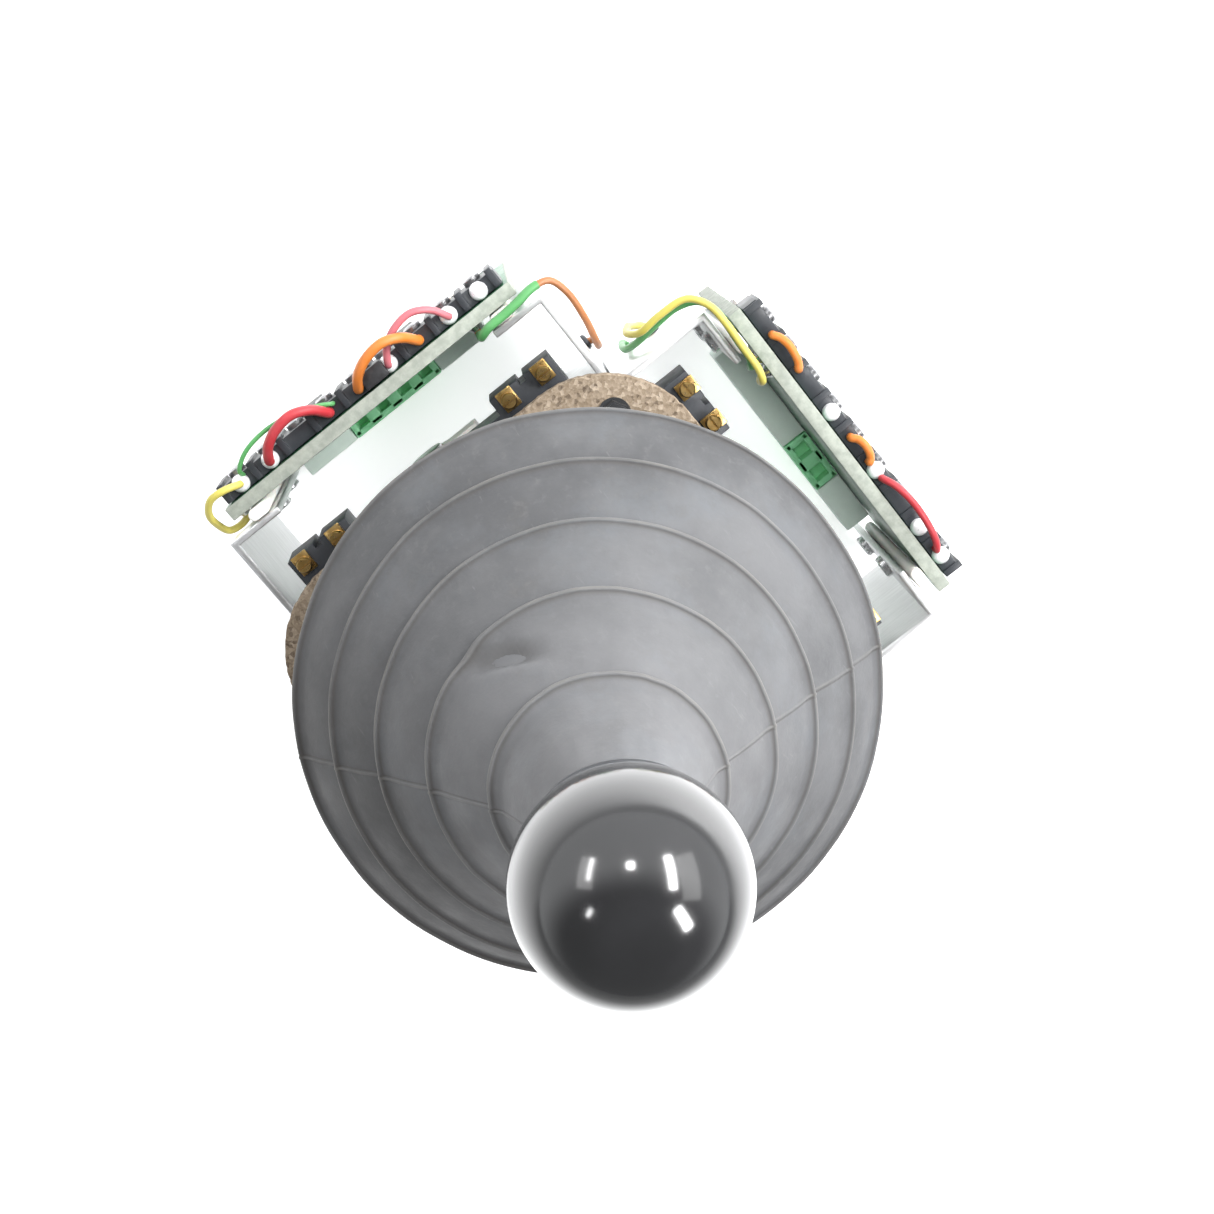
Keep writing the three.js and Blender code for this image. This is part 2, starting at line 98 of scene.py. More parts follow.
# ---- camera
def add_camera():
    data = bpy.data.cameras.new("camera")
    data.lens = 59.3
    data.sensor_width = 36
    camera = placed("camera", data)
    camera.location = (0.0521, 0.1041, 0.4753)
    turn = (
        Matrix.Rotation(math.radians(-38.24), 3, "Z")
        @ Matrix.Rotation(math.radians(-4.01), 3, "Y")
        @ Matrix.Rotation(math.radians(-13.9), 3, "X")
    )
    camera.rotation_euler = turn.to_euler()
    bpy.context.scene.camera = camera
    return turn


view_turn = add_camera()


# ---- light
LAMP_DISTANCE = 0.9                 # metres


def softbox(name, direction, size, radiance, spin=0, mirrored=True):
    """A rectangular lamp facing the knob from a direction given in the camera's axes."""
    data = bpy.data.lights.new(name, "AREA")
    data.shape = "RECTANGLE"
    data.size, data.size_y = size
    data.energy = radiance * size[0] * size[1] * math.pi
    lamp = placed(name, data)
    away = (view_turn @ Vector(direction)).normalized()
    upright = view_turn @ Vector((0, 1, 0))
    upright = (upright - away * upright.dot(away)).normalized()
    lamp.location = Vector((0, 0, KNOB_HEIGHT * MM)) + away * LAMP_DISTANCE
    facing = Matrix((upright.cross(away), upright, away)).transposed()
    lamp.rotation_euler = (facing @ Matrix.Rotation(math.radians(spin), 3, "Z")).to_euler()
    lamp.visible_glossy = mirrored


softbox("key_softbox", (0.58, 0.32, 0.76), (0.11, 0.46), 30)
softbox("wide_softbox", (0.8, 0.22, 0.56), (0.3, 0.6), 1.6)
softbox("side_flood", (0.66, 0.5, 0.5), (0.5, 0.5), 20, mirrored=False)
softbox("overhead_flood", (-0.03, 0.12, 0.98), (0.4, 0.4), 9.5, mirrored=False)
softbox("fill_softbox", (-0.61, 0.36, 0.72), (0.06, 0.3), 12)
softbox("haze_softbox", (-0.66, 0.3, 0.7), (0.24, 0.42), 1.6)
softbox("side_softbox", (0.7, -0.34, 0.62), (0.12, 0.36), 34, 42)
softbox("low_softbox", (-0.6, -0.26, 0.75), (0.06, 0.13), 12, -35)
softbox("round_lamp", (-0.02, 0.45, 0.89), (0.09, 0.09), 45)


def add_world():
    """A pale studio that is darker on the side nearest the viewer."""
    world = bpy.data.worlds.new("studio")
    world.use_nodes = True
    tree = world.node_tree
    background = tree.nodes["Background"]
    place = tree.nodes.new("ShaderNodeTexCoord")
    bright_side = tree.nodes.new("ShaderNodeVectorMath")
    bright_side.operation = "DOT_PRODUCT"
    bright_side.inputs[1].default_value = view_turn @ Vector((0, 1, -0.8))
    across = tree.nodes.new("ShaderNodeMapRange")
    across.interpolation_type = "SMOOTHSTEP"
    for socket, number in zip(("From Min", "From Max", "To Min", "To Max"), (-0.78, -0.15, 0.22, 1.2)):
        across.inputs[socket].default_value = number
    tree.links.new(place.outputs["Generated"], bright_side.inputs[0])
    tree.links.new(bright_side.outputs["Value"], across.inputs["Value"])
    seen = tree.nodes.new("ShaderNodeLightPath")
    strength = tree.nodes.new("ShaderNodeMix")
    tree.links.new(seen.outputs["Is Camera Ray"], strength.inputs[0])
    fill = tree.nodes.new("ShaderNodeMix")
    tree.links.new(seen.outputs["Is Diffuse Ray"], fill.inputs[0])
    tree.links.new(across.outputs["Result"], fill.inputs[2])
    fill.inputs[3].default_value = 0.45
    tree.links.new(fill.outputs[0], strength.inputs[2])
    strength.inputs[3].default_value = 0.92
    tree.links.new(strength.outputs[0], background.inputs["Strength"])
    background.inputs["Color"].default_value = (0.97, 0.985, 1, 1)
    bpy.context.scene.world = world


add_world()
bpy.context.scene.view_settings.view_transform = "Standard"


# ---- finishes
class Finish:
    """A procedural material under construction."""

    def __init__(self, name, riding=False, **sockets):
        self.material = bpy.data.materials.new(name)
        self.material.use_nodes = True
        self.nodes = self.material.node_tree.nodes
        self.shader = self.nodes["Principled BSDF"]
        for socket, value in sockets.items():
            self.shader.inputs[socket.replace("_", " ")].default_value = value
        if riding:
            place = self.nodes.new("ShaderNodeAttribute")
            place.attribute_name = "rest"
            self.place = place.outputs["Vector"]
        else:
            self.place = self.nodes.new("ShaderNodeTexCoord").outputs["Object"]

    def link(self, output, target):
        self.material.node_tree.links.new(output, target)

    def stretched(self, scale):
        mapping = self.nodes.new("ShaderNodeMapping")
        mapping.inputs["Scale"].default_value = scale
        self.link(self.place, mapping.inputs["Vector"])
        return mapping.outputs["Vector"]

    def noise(self, scale, detail=3.0, rough=0.5, place=None):
        node = self.nodes.new("ShaderNodeTexNoise")
        node.inputs["Scale"].default_value = scale
        node.inputs["Detail"].default_value = detail
        node.inputs["Roughness"].default_value = rough
        self.link(place or self.place, node.inputs["Vector"])
        return node.outputs["Fac"]

    def cells(self, scale, output="Distance"):
        node = self.nodes.new("ShaderNodeTexVoronoi")
        node.inputs["Scale"].default_value = scale
        self.link(self.place, node.inputs["Vector"])
        return node.outputs[output]

    def ramp(self, value, stops, smooth=True):
        node = self.nodes.new("ShaderNodeValToRGB")
        node.color_ramp.interpolation = "EASE" if smooth else "CONSTANT"
        while len(node.color_ramp.elements) < len(stops):
            node.color_ramp.elements.new(0.5)
        for element, (position, colour) in zip(node.color_ramp.elements, stops):
            element.position = position
            element.color = (*colour, 1)
        self.link(value, node.inputs["Fac"])
        return node.outputs["Color"]

    def range(self, value, low, high, start=0.3, end=0.7):
        node = self.nodes.new("ShaderNodeMapRange")
        for socket, number in zip(("From Min", "From Max", "To Min", "To Max"), (start, end, low, high)):
            node.inputs[socket].default_value = number
        self.link(value, node.inputs["Value"])
        return node.outputs["Result"]

    def mix(self, factor, first, second, blend="MIX"):
        node = self.nodes.new("ShaderNodeMix")
        node.data_type = "RGBA"
        node.blend_type = blend
        for value, socket in ((factor, 0), (first, 6), (second, 7)):
            if isinstance(value, (int, float, tuple)):
                node.inputs[socket].default_value = value if socket == 0 else (*value, 1)
            else:
                self.link(value, node.inputs[socket])
        return node.outputs[2]

    def calculate(self, operation, *values, kind="ShaderNodeMath", clamp=False):
        """A Math or VectorMath node of plain values and other nodes' outputs."""
        node = self.nodes.new(kind)
        node.operation = operation
        if clamp:
            node.use_clamp = True
        for value, socket in zip(values, node.inputs):
            if isinstance(value, (float, tuple)):
                socket.default_value = value
            else:
                self.link(value, socket)
        return node.outputs["Value"]

    def attribute(self, name):
        node = self.nodes.new("ShaderNodeAttribute")
        node.attribute_name = name
        return node.outputs["Fac"]

    def colour(self, value):
        self.link(value, self.shader.inputs["Base Color"])

    def roughness(self, value):
        self.link(value, self.shader.inputs["Roughness"])

    def relief(self, value, height):
        node = self.nodes.new("ShaderNodeBump")
        node.inputs["Distance"].default_value = height * MM
        self.link(value, node.inputs["Height"])
        previous = self.shader.inputs["Normal"].links
        if previous:
            self.link(previous[0].from_socket, node.inputs["Normal"])
        self.link(node.outputs["Normal"], self.shader.inputs["Normal"])


def plain_finish(name, dark, light, rough, grain, relief=0.02, relief_grain=1800, stretch=None, **sockets):
    """Tone and gloss drift over the surface, and a fine relief roughens it."""
    made = Finish(name, **sockets)
    place = made.stretched(stretch) if stretch else None
    made.colour(made.ramp(made.noise(grain, 4, 0.6, place), ((0.3, dark), (0.7, light))))
    made.roughness(made.range(made.noise(grain * 2.3, 4, 0.6, place), *rough))
    made.relief(made.noise(relief_grain, 2, 0.5, place), relief)
    return made.material


def rubber_finish():
    """Matt moulded rubber with a dusty bloom, brownish stains, scuffs, and lips lightened partly by rubbing
    and partly by a painted highlight. Painted light makes it paler higher up. Painted shade darkens its -X
    side, its grooves, beside its seams and in its crease."""
    made = Finish("boot_rubber", riding=True, Specular_IOR_Level=0.42)
    tones = ((0.34, (0.058, 0.059, 0.062)), (0.66, (0.096, 0.097, 0.101)))
    grey = made.ramp(made.noise(24, 6, 0.66), tones)
    bloom = made.range(made.noise(52, 5, 0.62), 0.0, 0.6, 0.5, 0.72)
    grey = made.mix(bloom, grey, (0.096, 0.105, 0.116))
    stain = made.range(made.noise(105, 5, 0.68), 0.0, 0.5, 0.57, 0.76)
    grey = made.mix(stain, grey, (0.058, 0.053, 0.048))
    grey = made.mix(made.range(made.noise(420, 3, 0.7), 0.0, 0.3, 0.56, 0.74), grey, (0.118, 0.120, 0.123))
    streaks = made.stretched((900, 60, 220))
    scuff = made.range(made.noise(1.0, 3, 0.7, streaks), 0.0, 0.45, 0.66, 0.74)
    grey = made.mix(scuff, grey, (0.130, 0.130, 0.134))
    axes = made.nodes.new("ShaderNodeSeparateXYZ")
    made.link(made.place, axes.inputs[0])
    # painted light: the rubber is made paler higher up, where more light falls on it
    grey = made.mix(made.range(axes.outputs["Z"], 0.0, 0.22, 0.104, 0.142), grey, (0.19, 0.19, 0.195))
    # painted shade: the rubber is darkened towards its -X side, away from the key light
    grey = made.mix(made.range(axes.outputs["X"], 0.5, 0.0, -0.044, -0.012), grey, (0.034, 0.032, 0.031))
    # painted shade: grooves, the flanks of the seams and the crease are darkened
    grey = made.mix(made.range(made.attribute("groove_shade"), 0.0, 0.6, 0.1, 1.0), grey, (0.041, 0.036, 0.032))
    # lips are lightened partly as rub wear and partly as a painted highlight along the ridge edges
    rub_and_highlight = made.range(made.noise(150, 3, 0.6), 0.25, 0.62, 0.36, 0.62)
    lip = made.calculate("MULTIPLY", made.range(made.attribute("lip"), 0.0, 1.0, 0.15, 1.0), rub_and_highlight)
    grey = made.mix(lip, grey, (0.136, 0.131, 0.120))
    made.colour(grey)
    made.roughness(made.range(made.noise(70, 4, 0.6), 0.46, 0.66))
    made.relief(made.noise(1500, 3, 0.6), 0.035)
    made.relief(made.noise(150, 4, 0.55), 0.15)
    return made.material


def cork_finish():
    """Pressed cork and rubber granules."""
    made = Finish("cork", Specular_IOR_Level=0.25)
    tones = ((0.0, (0.087, 0.065, 0.047)), (0.22, (0.182, 0.141, 0.100)), (0.5, (0.243, 0.194, 0.144)),
             (0.78, (0.334, 0.277, 0.213)), (1.0, (0.137, 0.105, 0.076)))
    coarse = made.ramp(made.cells(1150, output="Color"), tones, False)
    fine = made.ramp(made.cells(2300, output="Color"), tones, False)
    made.colour(made.mix(0.35, coarse, fine))
    made.roughness(made.range(made.noise(900), 0.82, 0.97))
    made.relief(made.cells(1150), 0.1)
    made.relief(made.noise(2600, 3), 0.06)
    return made.material


def board_finish():
    """Green solder mask over copper tracks."""
    made = Finish("board_green", Specular_IOR_Level=0.5)
    mask = made.ramp(made.noise(40, 3), ((0.3, (0.028, 0.125, 0.058)), (0.7, (0.04, 0.165, 0.08))))
    brick = made.nodes.new("ShaderNodeTexBrick")
    for socket, value in (
        ("Scale", 1.0), ("Mortar Size", 0.09), ("Brick Width", 1.7), ("Row Height", 0.62),
        ("Color1", (1, 1, 1, 1)), ("Color2", (0.82, 0.82, 0.82, 1)), ("Mortar", (0, 0, 0, 1)),
    ):
        brick.inputs[socket].default_value = value
    turned_place = made.nodes.new("ShaderNodeMapping")
    turned_place.inputs["Rotation"].default_value = (math.radians(90), 0, 0)
    turned_place.inputs["Scale"].default_value = (240, 240, 240)
    made.link(made.place, turned_place.inputs["Vector"])
    made.link(turned_place.outputs["Vector"], brick.inputs["Vector"])
    made.colour(made.mix(0.22, mask, brick.outputs["Color"], "MULTIPLY"))
    made.roughness(made.range(made.noise(500), 0.28, 0.42))
    made.relief(brick.outputs["Fac"], 0.04)
    return made.material


def knob_finish():
    """Polished black phenolic with hairline scratches."""
    made = Finish("knob_black", IOR=1.6, Coat_Weight=1.0, Coat_Roughness=0.14, Coat_IOR=1.6)
    made.colour(made.ramp(made.noise(60, 3), ((0.3, (0.006, 0.006, 0.0065)), (0.7, (0.011, 0.011, 0.012)))))
    streaks = made.stretched((2600, 90, 300))
    made.roughness(made.range(made.noise(1.0, 3, 0.7, streaks), 0.1, 0.22, 0.55, 0.78))
    made.relief(made.noise(900, 2), 0.002)
    return made.material


def wire_finish(name, colour):
    """Soft coloured insulation, a little paler where it is handled."""
    pale = tuple(0.85 * c + 0.15 * (0.75 * c + 0.12) for c in colour)
    return plain_finish(name, colour, pale, (0.32, 0.46), 220, 0.01)


METAL = {"Metallic": 1.0}
finishes = {"board_green": board_finish(), "cork": cork_finish(), "boot_rubber": rubber_finish(),
            "knob_black": knob_finish()}
# Each: name, (dark, light), range of roughness, (grain, relief, grain of the relief), other settings
for name, tones, rough, relief, more in (
    ("steel", ((0.42, 0.42, 0.43), (0.56, 0.56, 0.57)), (0.26, 0.42), (240, 0.01),
     {"stretch": (1, 1, 7), **METAL}),
    ("aluminium", ((0.84, 0.845, 0.85), (0.92, 0.925, 0.93)), (0.42, 0.58), (120, 0.012),
     {"stretch": (1, 1, 9), **METAL}),
    ("casting", ((0.30, 0.31, 0.32), (0.38, 0.39, 0.40)), (0.42, 0.56), (160, 0.03), METAL),
    ("black_paint", ((0.016, 0.017, 0.018), (0.026, 0.027, 0.029)), (0.36, 0.52), (130, 0.05), {}),
    ("black_plastic", ((0.020, 0.022, 0.026), (0.030, 0.033, 0.038)), (0.36, 0.5), (150,), {}),
    ("brass", ((0.5, 0.31, 0.1), (0.66, 0.45, 0.18)), (0.24, 0.38), (300, 0.01), METAL),
    ("tin", ((0.68, 0.68, 0.69), (0.84, 0.84, 0.85)), (0.16, 0.34), (500, 0.03, 1400), METAL),
    ("post_white", ((0.74, 0.74, 0.75), (0.86, 0.86, 0.87)), (0.25, 0.4), (300, 0.02, 1200),
     {"Metallic": 0.35}),
    ("nylon", ((0.62, 0.61, 0.57), (0.72, 0.71, 0.67)), (0.34, 0.46), (120, 0.02, 1200),
     {"Subsurface_Weight": 0.1, "Subsurface_Scale": 0.002}),
    ("board_edge", ((0.21, 0.23, 0.2), (0.29, 0.31, 0.27)), (0.6, 0.8), (500, 0.04, 2600), {}),
    ("plug_green", ((0.26, 0.72, 0.36), (0.33, 0.8, 0.44)), (0.32, 0.46), (140,), {}),
    ("header_pale", ((0.7, 0.82, 0.74), (0.76, 0.88, 0.8)), (0.4, 0.52), (120,), {}),
    ("component_dark", ((0.012, 0.012, 0.013), (0.024, 0.024, 0.026)), (0.4, 0.6), (700,), {}),
    ("component_tan", ((0.38, 0.24, 0.13), (0.47, 0.31, 0.18)), (0.35, 0.5), (600,), {}),
    ("component_ochre", ((0.42, 0.17, 0.03), (0.52, 0.24, 0.05)), (0.3, 0.45), (500,), {}),
):
    finishes[name] = plain_finish(name, *tones, rough, *relief, **more)
for name, colour in (
    ("wire_pink", (0.42, 0.11, 0.13)), ("wire_orange", (0.52, 0.15, 0.02)),
    ("wire_red", (0.36, 0.022, 0.03)), ("wire_yellow", (0.46, 0.40, 0.08)),
    ("wire_brown", (0.30, 0.115, 0.04)), ("wire_green", (0.07, 0.26, 0.08)),
):
    finishes[name] = wire_finish(name, colour)


# ---- mesh making
class Shape:
    """Corners and faces of one piece, in millimetres, gathered from simpler forms."""

    def __init__(self, *parts):
        self.points, self.faces, self.finish = [], [], []
        for part in parts:
            self.add(part)

    def add(self, form, place=None, finish=0):
        points, faces = form
        start = len(self.points)
        self.points += [tuple(place @ Vector(p)) if place else tuple(p) for p in points]
        self.faces += [[start + corner for corner in face] for face in faces]
        self.finish += [finish] * len(faces)

    def make(self, name, slot_names, body, angle=38, replaced=()):
        """The finished piece, riding on its body. Faces that meet at more than an angle stay sharp."""
        slot_names = [slot_names] if isinstance(slot_names, str) else slot_names
        mesh = bpy.data.meshes.new(name)
        mesh.from_pydata([[c * MM for c in p] for p in self.points], [], self.faces)
        for slot_name in slot_names:
            mesh.materials.append(finishes[slot_name])
        mesh.polygons.foreach_set("material_index", self.finish)
        work = bmesh.new()
        work.from_mesh(mesh)
        bmesh.ops.recalc_face_normals(work, faces=work.faces)
        work.to_mesh(mesh)
        work.free()
        mesh.shade_smooth()
        mesh.set_sharp_from_angle(angle=math.radians(angle))
        piece = placed(name, mesh)
        if body:
            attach(piece, body)
        if replaced:
            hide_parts(*replaced)
        return piece


def circle(radius, count, x=0.0, y=0.0):
    turns = [2 * math.pi * i / count for i in range(count)]
    return [(x + radius * math.cos(turn), y + radius * math.sin(turn)) for turn in turns]


def turned(profile, count, closed=False):
    """(radius, height) pairs turned about Z. A radius of nought is a single point on the axis."""
    points, rings, faces = [], [], []
    for radius, height in profile:
        if radius < 1e-6:
            rings.append([len(points)] * count)
            points.append((0, 0, height))
            continue
        rings.append(list(range(len(points), len(points) + count)))
        points += [(x, y, height) for x, y in circle(radius, count)]
    pairs = list(zip(rings, rings[1:])) + ([(rings[-1], rings[0])] if closed else [])
    for low, high in pairs:
        for step in range(count):
            after = (step + 1) % count
            face = list(dict.fromkeys((low[step], low[after], high[after], high[step])))
            if len(face) > 2:
                faces.append(face)
    return points, faces


def cuboid(low, high, edge, segments=2):
    """A box with rounded edges."""
    work = bmesh.new()
    bmesh.ops.create_cube(work, size=1)
    size = [b - a for a, b in zip(low, high)]
    middle = [(a + b) / 2 for a, b in zip(low, high)]
    for vert in work.verts:
        vert.co = Vector([m + s * c for m, s, c in zip(middle, size, vert.co)])
    edge = min(edge, min(size) * 0.4)
    bmesh.ops.bevel(work, geom=work.edges[:], offset=edge, segments=segments, affect="EDGES", profile=0.5)
    form = ([tuple(v.co) for v in work.verts], [[v.index for v in f.verts] for f in work.faces])
    work.free()
    return form


def prism(outline, z0, z1):
    """An outline in X and Y extruded between two heights."""
    count = len(outline)
    points = [(x, y, z0) for x, y in outline] + [(x, y, z1) for x, y in outline]
    sides = [[i, (i + 1) % count, count + (i + 1) % count, count + i] for i in range(count)]
    return points, [list(range(count))[::-1], list(range(count, 2 * count)), *sides]


def smooth_path(points, per_span=7):
    """Points along a centripetal Catmull-Rom curve, the same curve that the CAD wires follow."""
    points = [Vector(p) for p in points]
    padded = [2 * points[0] - points[1], *points, 2 * points[-1] - points[-2]]
    path = []
    for a, b, c, d in zip(padded, padded[1:], padded[2:], padded[3:]):
        times = [0.0]
        for p, q in ((a, b), (b, c), (c, d)):
            times.append(times[-1] + max((q - p).length, 1e-6) ** 0.5)
        for step in range(per_span):
            t = times[1] + (times[2] - times[1]) * step / per_span
            knots = [a, b, c, d]
            for reach, starts in ((1, (0, 1, 2)), (2, (0, 1)), (1, (1,))):
                spans = [(times[start], times[start + reach]) for start in starts]
                knots = [p * ((t1 - t) / (t1 - t0)) + q * ((t - t0) / (t1 - t0))
                         for p, q, (t0, t1) in zip(knots, knots[1:], spans)]
            path.append(knots[0])
    path.append(points[-1])
    return path


def sweep(path, radius, sides):
    """A round tube along a path, its section carried along without twisting."""
    points, faces = [], []
    neighbours = zip([path[0], *path], [*path[1:], path[-1]])
    tangents = [(after - before).normalized() for before, after in neighbours]
    side = tangents[0].orthogonal().normalized()
    for here, along in zip(path, tangents):
        side = (side - along * side.dot(along)).normalized()
        other = along.cross(side)
        for step in range(sides):
            angle = 2 * math.pi * step / sides
            points.append(tuple(here + (side * math.cos(angle) + other * math.sin(angle)) * radius))
    for ring in range(len(path) - 1):
        for step in range(sides):
            after = (step + 1) % sides
            faces.append([ring * sides + step, ring * sides + after,
                          (ring + 1) * sides + after, (ring + 1) * sides + step])
    faces.append(list(range(sides))[::-1])
    faces.append(list(range((len(path) - 1) * sides, len(path) * sides)))
    return points, faces


def slotted_head(shape, place, radius, height):
    """A round screw head with a straight driver slot: a low disc under two half-moons."""
    floor = height * 0.5
    shape.add(turned([(0, 0), (radius, 0), (radius, floor), (0, floor)], 28), place)
    gap = radius * 0.16
    for turn in (0, math.pi):
        outline = []
        start = math.asin(gap / (radius - 0.001))
        for step in range(15):
            angle = start + (math.pi - 2 * start) * step / 14
            outline.append((radius * math.cos(angle), radius * math.sin(angle)))
        inner = [(x * 0.84, max(y * 0.84, gap)) for x, y in outline]
        count = len(outline)
        points = ([(x, y, floor * 0.9) for x, y in outline] + [(x, y, height * 0.78) for x, y in outline]
                  + [(x, y, height) for x, y in inner])
        faces = [list(range(count))[::-1], list(range(2 * count, 3 * count))]
        for i in range(count):
            after = (i + 1) % count
            for level in (0, count):
                faces.append([level + i, level + after, level + count + after, level + count + i])
        shape.add((points, faces), place @ Matrix.Rotation(turn, 4, "Z"))


def hex_head(shape, place, radius, height):
    """A six-sided bolt head with a smaller crown."""
    shape.add(prism(circle(radius, 6), 0, height * 0.82), place)
    shape.add(prism(circle(radius * 0.88, 6), height * 0.8, height), place)


def pointing(location, direction):
    """Places a form made along +Z at a point, facing a direction."""
    return Matrix.Translation(location) @ Vector(direction).to_track_quat("Z", "Y").to_matrix().to_4x4()


def refined(name, finish, edge):
    """The CAD solid again with its flat faces joined up and its edges rounded."""
    node = nodes[name]
    work = bmesh.new()
    work.from_mesh(node.data)
    bmesh.ops.remove_doubles(work, verts=work.verts, dist=1e-6)
    bmesh.ops.dissolve_limit(work, angle_limit=math.radians(0.6), verts=work.verts, edges=work.edges)
    sharp = [e for e in work.edges if len(e.link_faces) == 2 and e.calc_face_angle() > math.radians(42)]
    if edge:
        bmesh.ops.bevel(work, geom=sharp, offset=edge * MM, segments=2, affect="EDGES", profile=0.5,
                        clamp_overlap=True)
    bmesh.ops.remove_doubles(work, verts=work.verts, dist=1e-6)
    mesh = bpy.data.meshes.new(f"{name}_fine")
    work.to_mesh(mesh)
    work.free()
    mesh.materials.append(finishes[finish])
    mesh.shade_smooth()
    mesh.set_sharp_from_angle(angle=math.radians(35))
    piece = placed(f"{name}_fine", mesh)
    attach(piece, node["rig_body"])
    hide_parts(name)


# ---- rubber boot
SEAMS = (math.radians(-28), math.radians(152))
SEAM_SECTION = (                    # sideways offset, height and shade across one seam
    (-0.85, 0.0, 0.0), (-0.62, -0.07, 0.8), (-0.42, -0.03, 0.6), (-0.22, 0.2, 0.0), (0.0, 0.27, 0.0),
    (0.22, 0.2, 0.0), (0.42, 0.0, 0.3), (0.75, 0.0, 0.0),
)
SPLIT_TIER = 2
INNER_WALL = 3.0
CLAMP_REACH = 80.0                  # the foot is plainly round up to this height


def boot_columns():
    """(angle, sideways offset, seam height, painted seam shade) of each upright column round the boot."""
    columns = []
    for step in range(180):
        angle = math.radians(2 * step)
        near = min(abs(math.remainder(angle - seam, 2 * math.pi)) for seam in SEAMS)
        if near > math.radians(1.9):
            columns.append((angle, 0.0, 0.0, 0.0))
    for seam in SEAMS:
        columns += [(seam % (2 * math.pi), *section) for section in SEAM_SECTION]
    return sorted(columns, key=lambda c: (c[0] + math.radians(0.1) * c[1]))


def lip_profile(radius, height):
    """(radius, height, lip, painted shade) round one ridge: a thin overhanging lip, then a groove above it,
    darkened with painted shade.
    """
    return [
        (radius - 1.2, height - 1.8, 0.0, 0.5), (radius - 0.7, height - 1.4, 0.1, 0.2),
        (radius - 0.2, height - 1.0, 0.5, 0.0), (radius - 0.02, height - 0.7, 0.9, 0.0),
        (radius, height - 0.45, 1.0, 0.0), (radius - 0.1, height - 0.2, 1.0, 0.0),
        (radius - 0.28, height - 0.05, 0.7, 0.0), (radius - 0.5, height - 0.02, 0.2, 0.2),
        (radius - 0.72, height - 0.08, 0.0, 0.8), (radius - 0.95, height - 0.04, 0.0, 0.8),
        (radius - 1.25, height + 0.18, 0.0, 0.35), (radius - 1.6, height + 0.5, 0.0, 0.1),
        (radius - 2.0, height + 0.95, 0.0, 0.0), (radius - 2.4, height + 1.4, 0.0, 0.0),
    ]


def slope(start, end, bulge):
    """Points up one conical tier, swelling out a little between its ends."""
    count = 16
    run = Vector((end[0] - start[0], end[1] - start[1]))
    out = Vector((run.y, -run.x)).normalized()
    made = []
    for step in range(1, count):
        t = step / count
        swell = bulge * math.sin(math.pi * t) ** 0.8
        made.append((start[0] + run.x * t + out.x * swell, start[1] + run.y * t + out.y * swell, 0.0, 0.0))
    return made


def boot_sections():
    """The outside of the boot below and above its split, from the foot to the neck."""
    ridges = [lip_profile(r, RIM_HEIGHT + rise) for r, rise in zip(RIDGE_RADIUS, RIDGE_RISE)]
    foot = [(47.0, CLAMP_FOOT, 0, 0), (47.0, 73, 0, 0), (47.0, 77, 0, 0), (47.05, 79.4, 0, 0),
            (47.7, 80.7, 0, 0), (50.2, 83.0, 0, 0), (53.9, 86.9, 0, 0), (56.3, 89.8, 0, 0)]
    sections = [foot + ridges[0]]
    for tier, (ridge, above) in enumerate(zip(ridges, ridges[1:]), 1):
        sections[-1] += slope(ridge[-1], above[0], 0.35)
        if tier == SPLIT_TIER:
            sections[-1].append(above[0])
            sections.append(above)
        else:
            sections[-1] += above
    neck = (12.5, 166.6)
    sections[-1] += slope(ridges[-1][-1], neck, -0.25)
    sections[-1] += [(*neck, 0, 0), (12.2, 167.4, 0, 0), (11.7, 167.9, 0, 0), (11.0, NECK_TOP, 0, 0),
                     (5.4, NECK_TOP, 0, 0.5)]
    return sections


def crease(turn, height):
    """Radial movement and painted shade at a slanting fold in the fourth tier."""
    low, high = math.radians(103), math.radians(72)
    along = math.remainder(turn - low, 2 * math.pi) / (high - low)
    across = height - (RIM_HEIGHT + 38.0 + 8.0 * along)
    window = math.exp(-(((along - 0.36) / 0.42) ** 2))
    fold = math.exp(-((across / 2.5) ** 2))
    swell = math.exp(-(((across - 3.0) / 1.7) ** 2)) + 0.6 * math.exp(-(((across + 2.6) / 1.4) ** 2))
    return window * (0.5 * swell - 2.3 * fold), 0.8 * window * math.exp(-(((across + 0.4) / 2.1) ** 2))


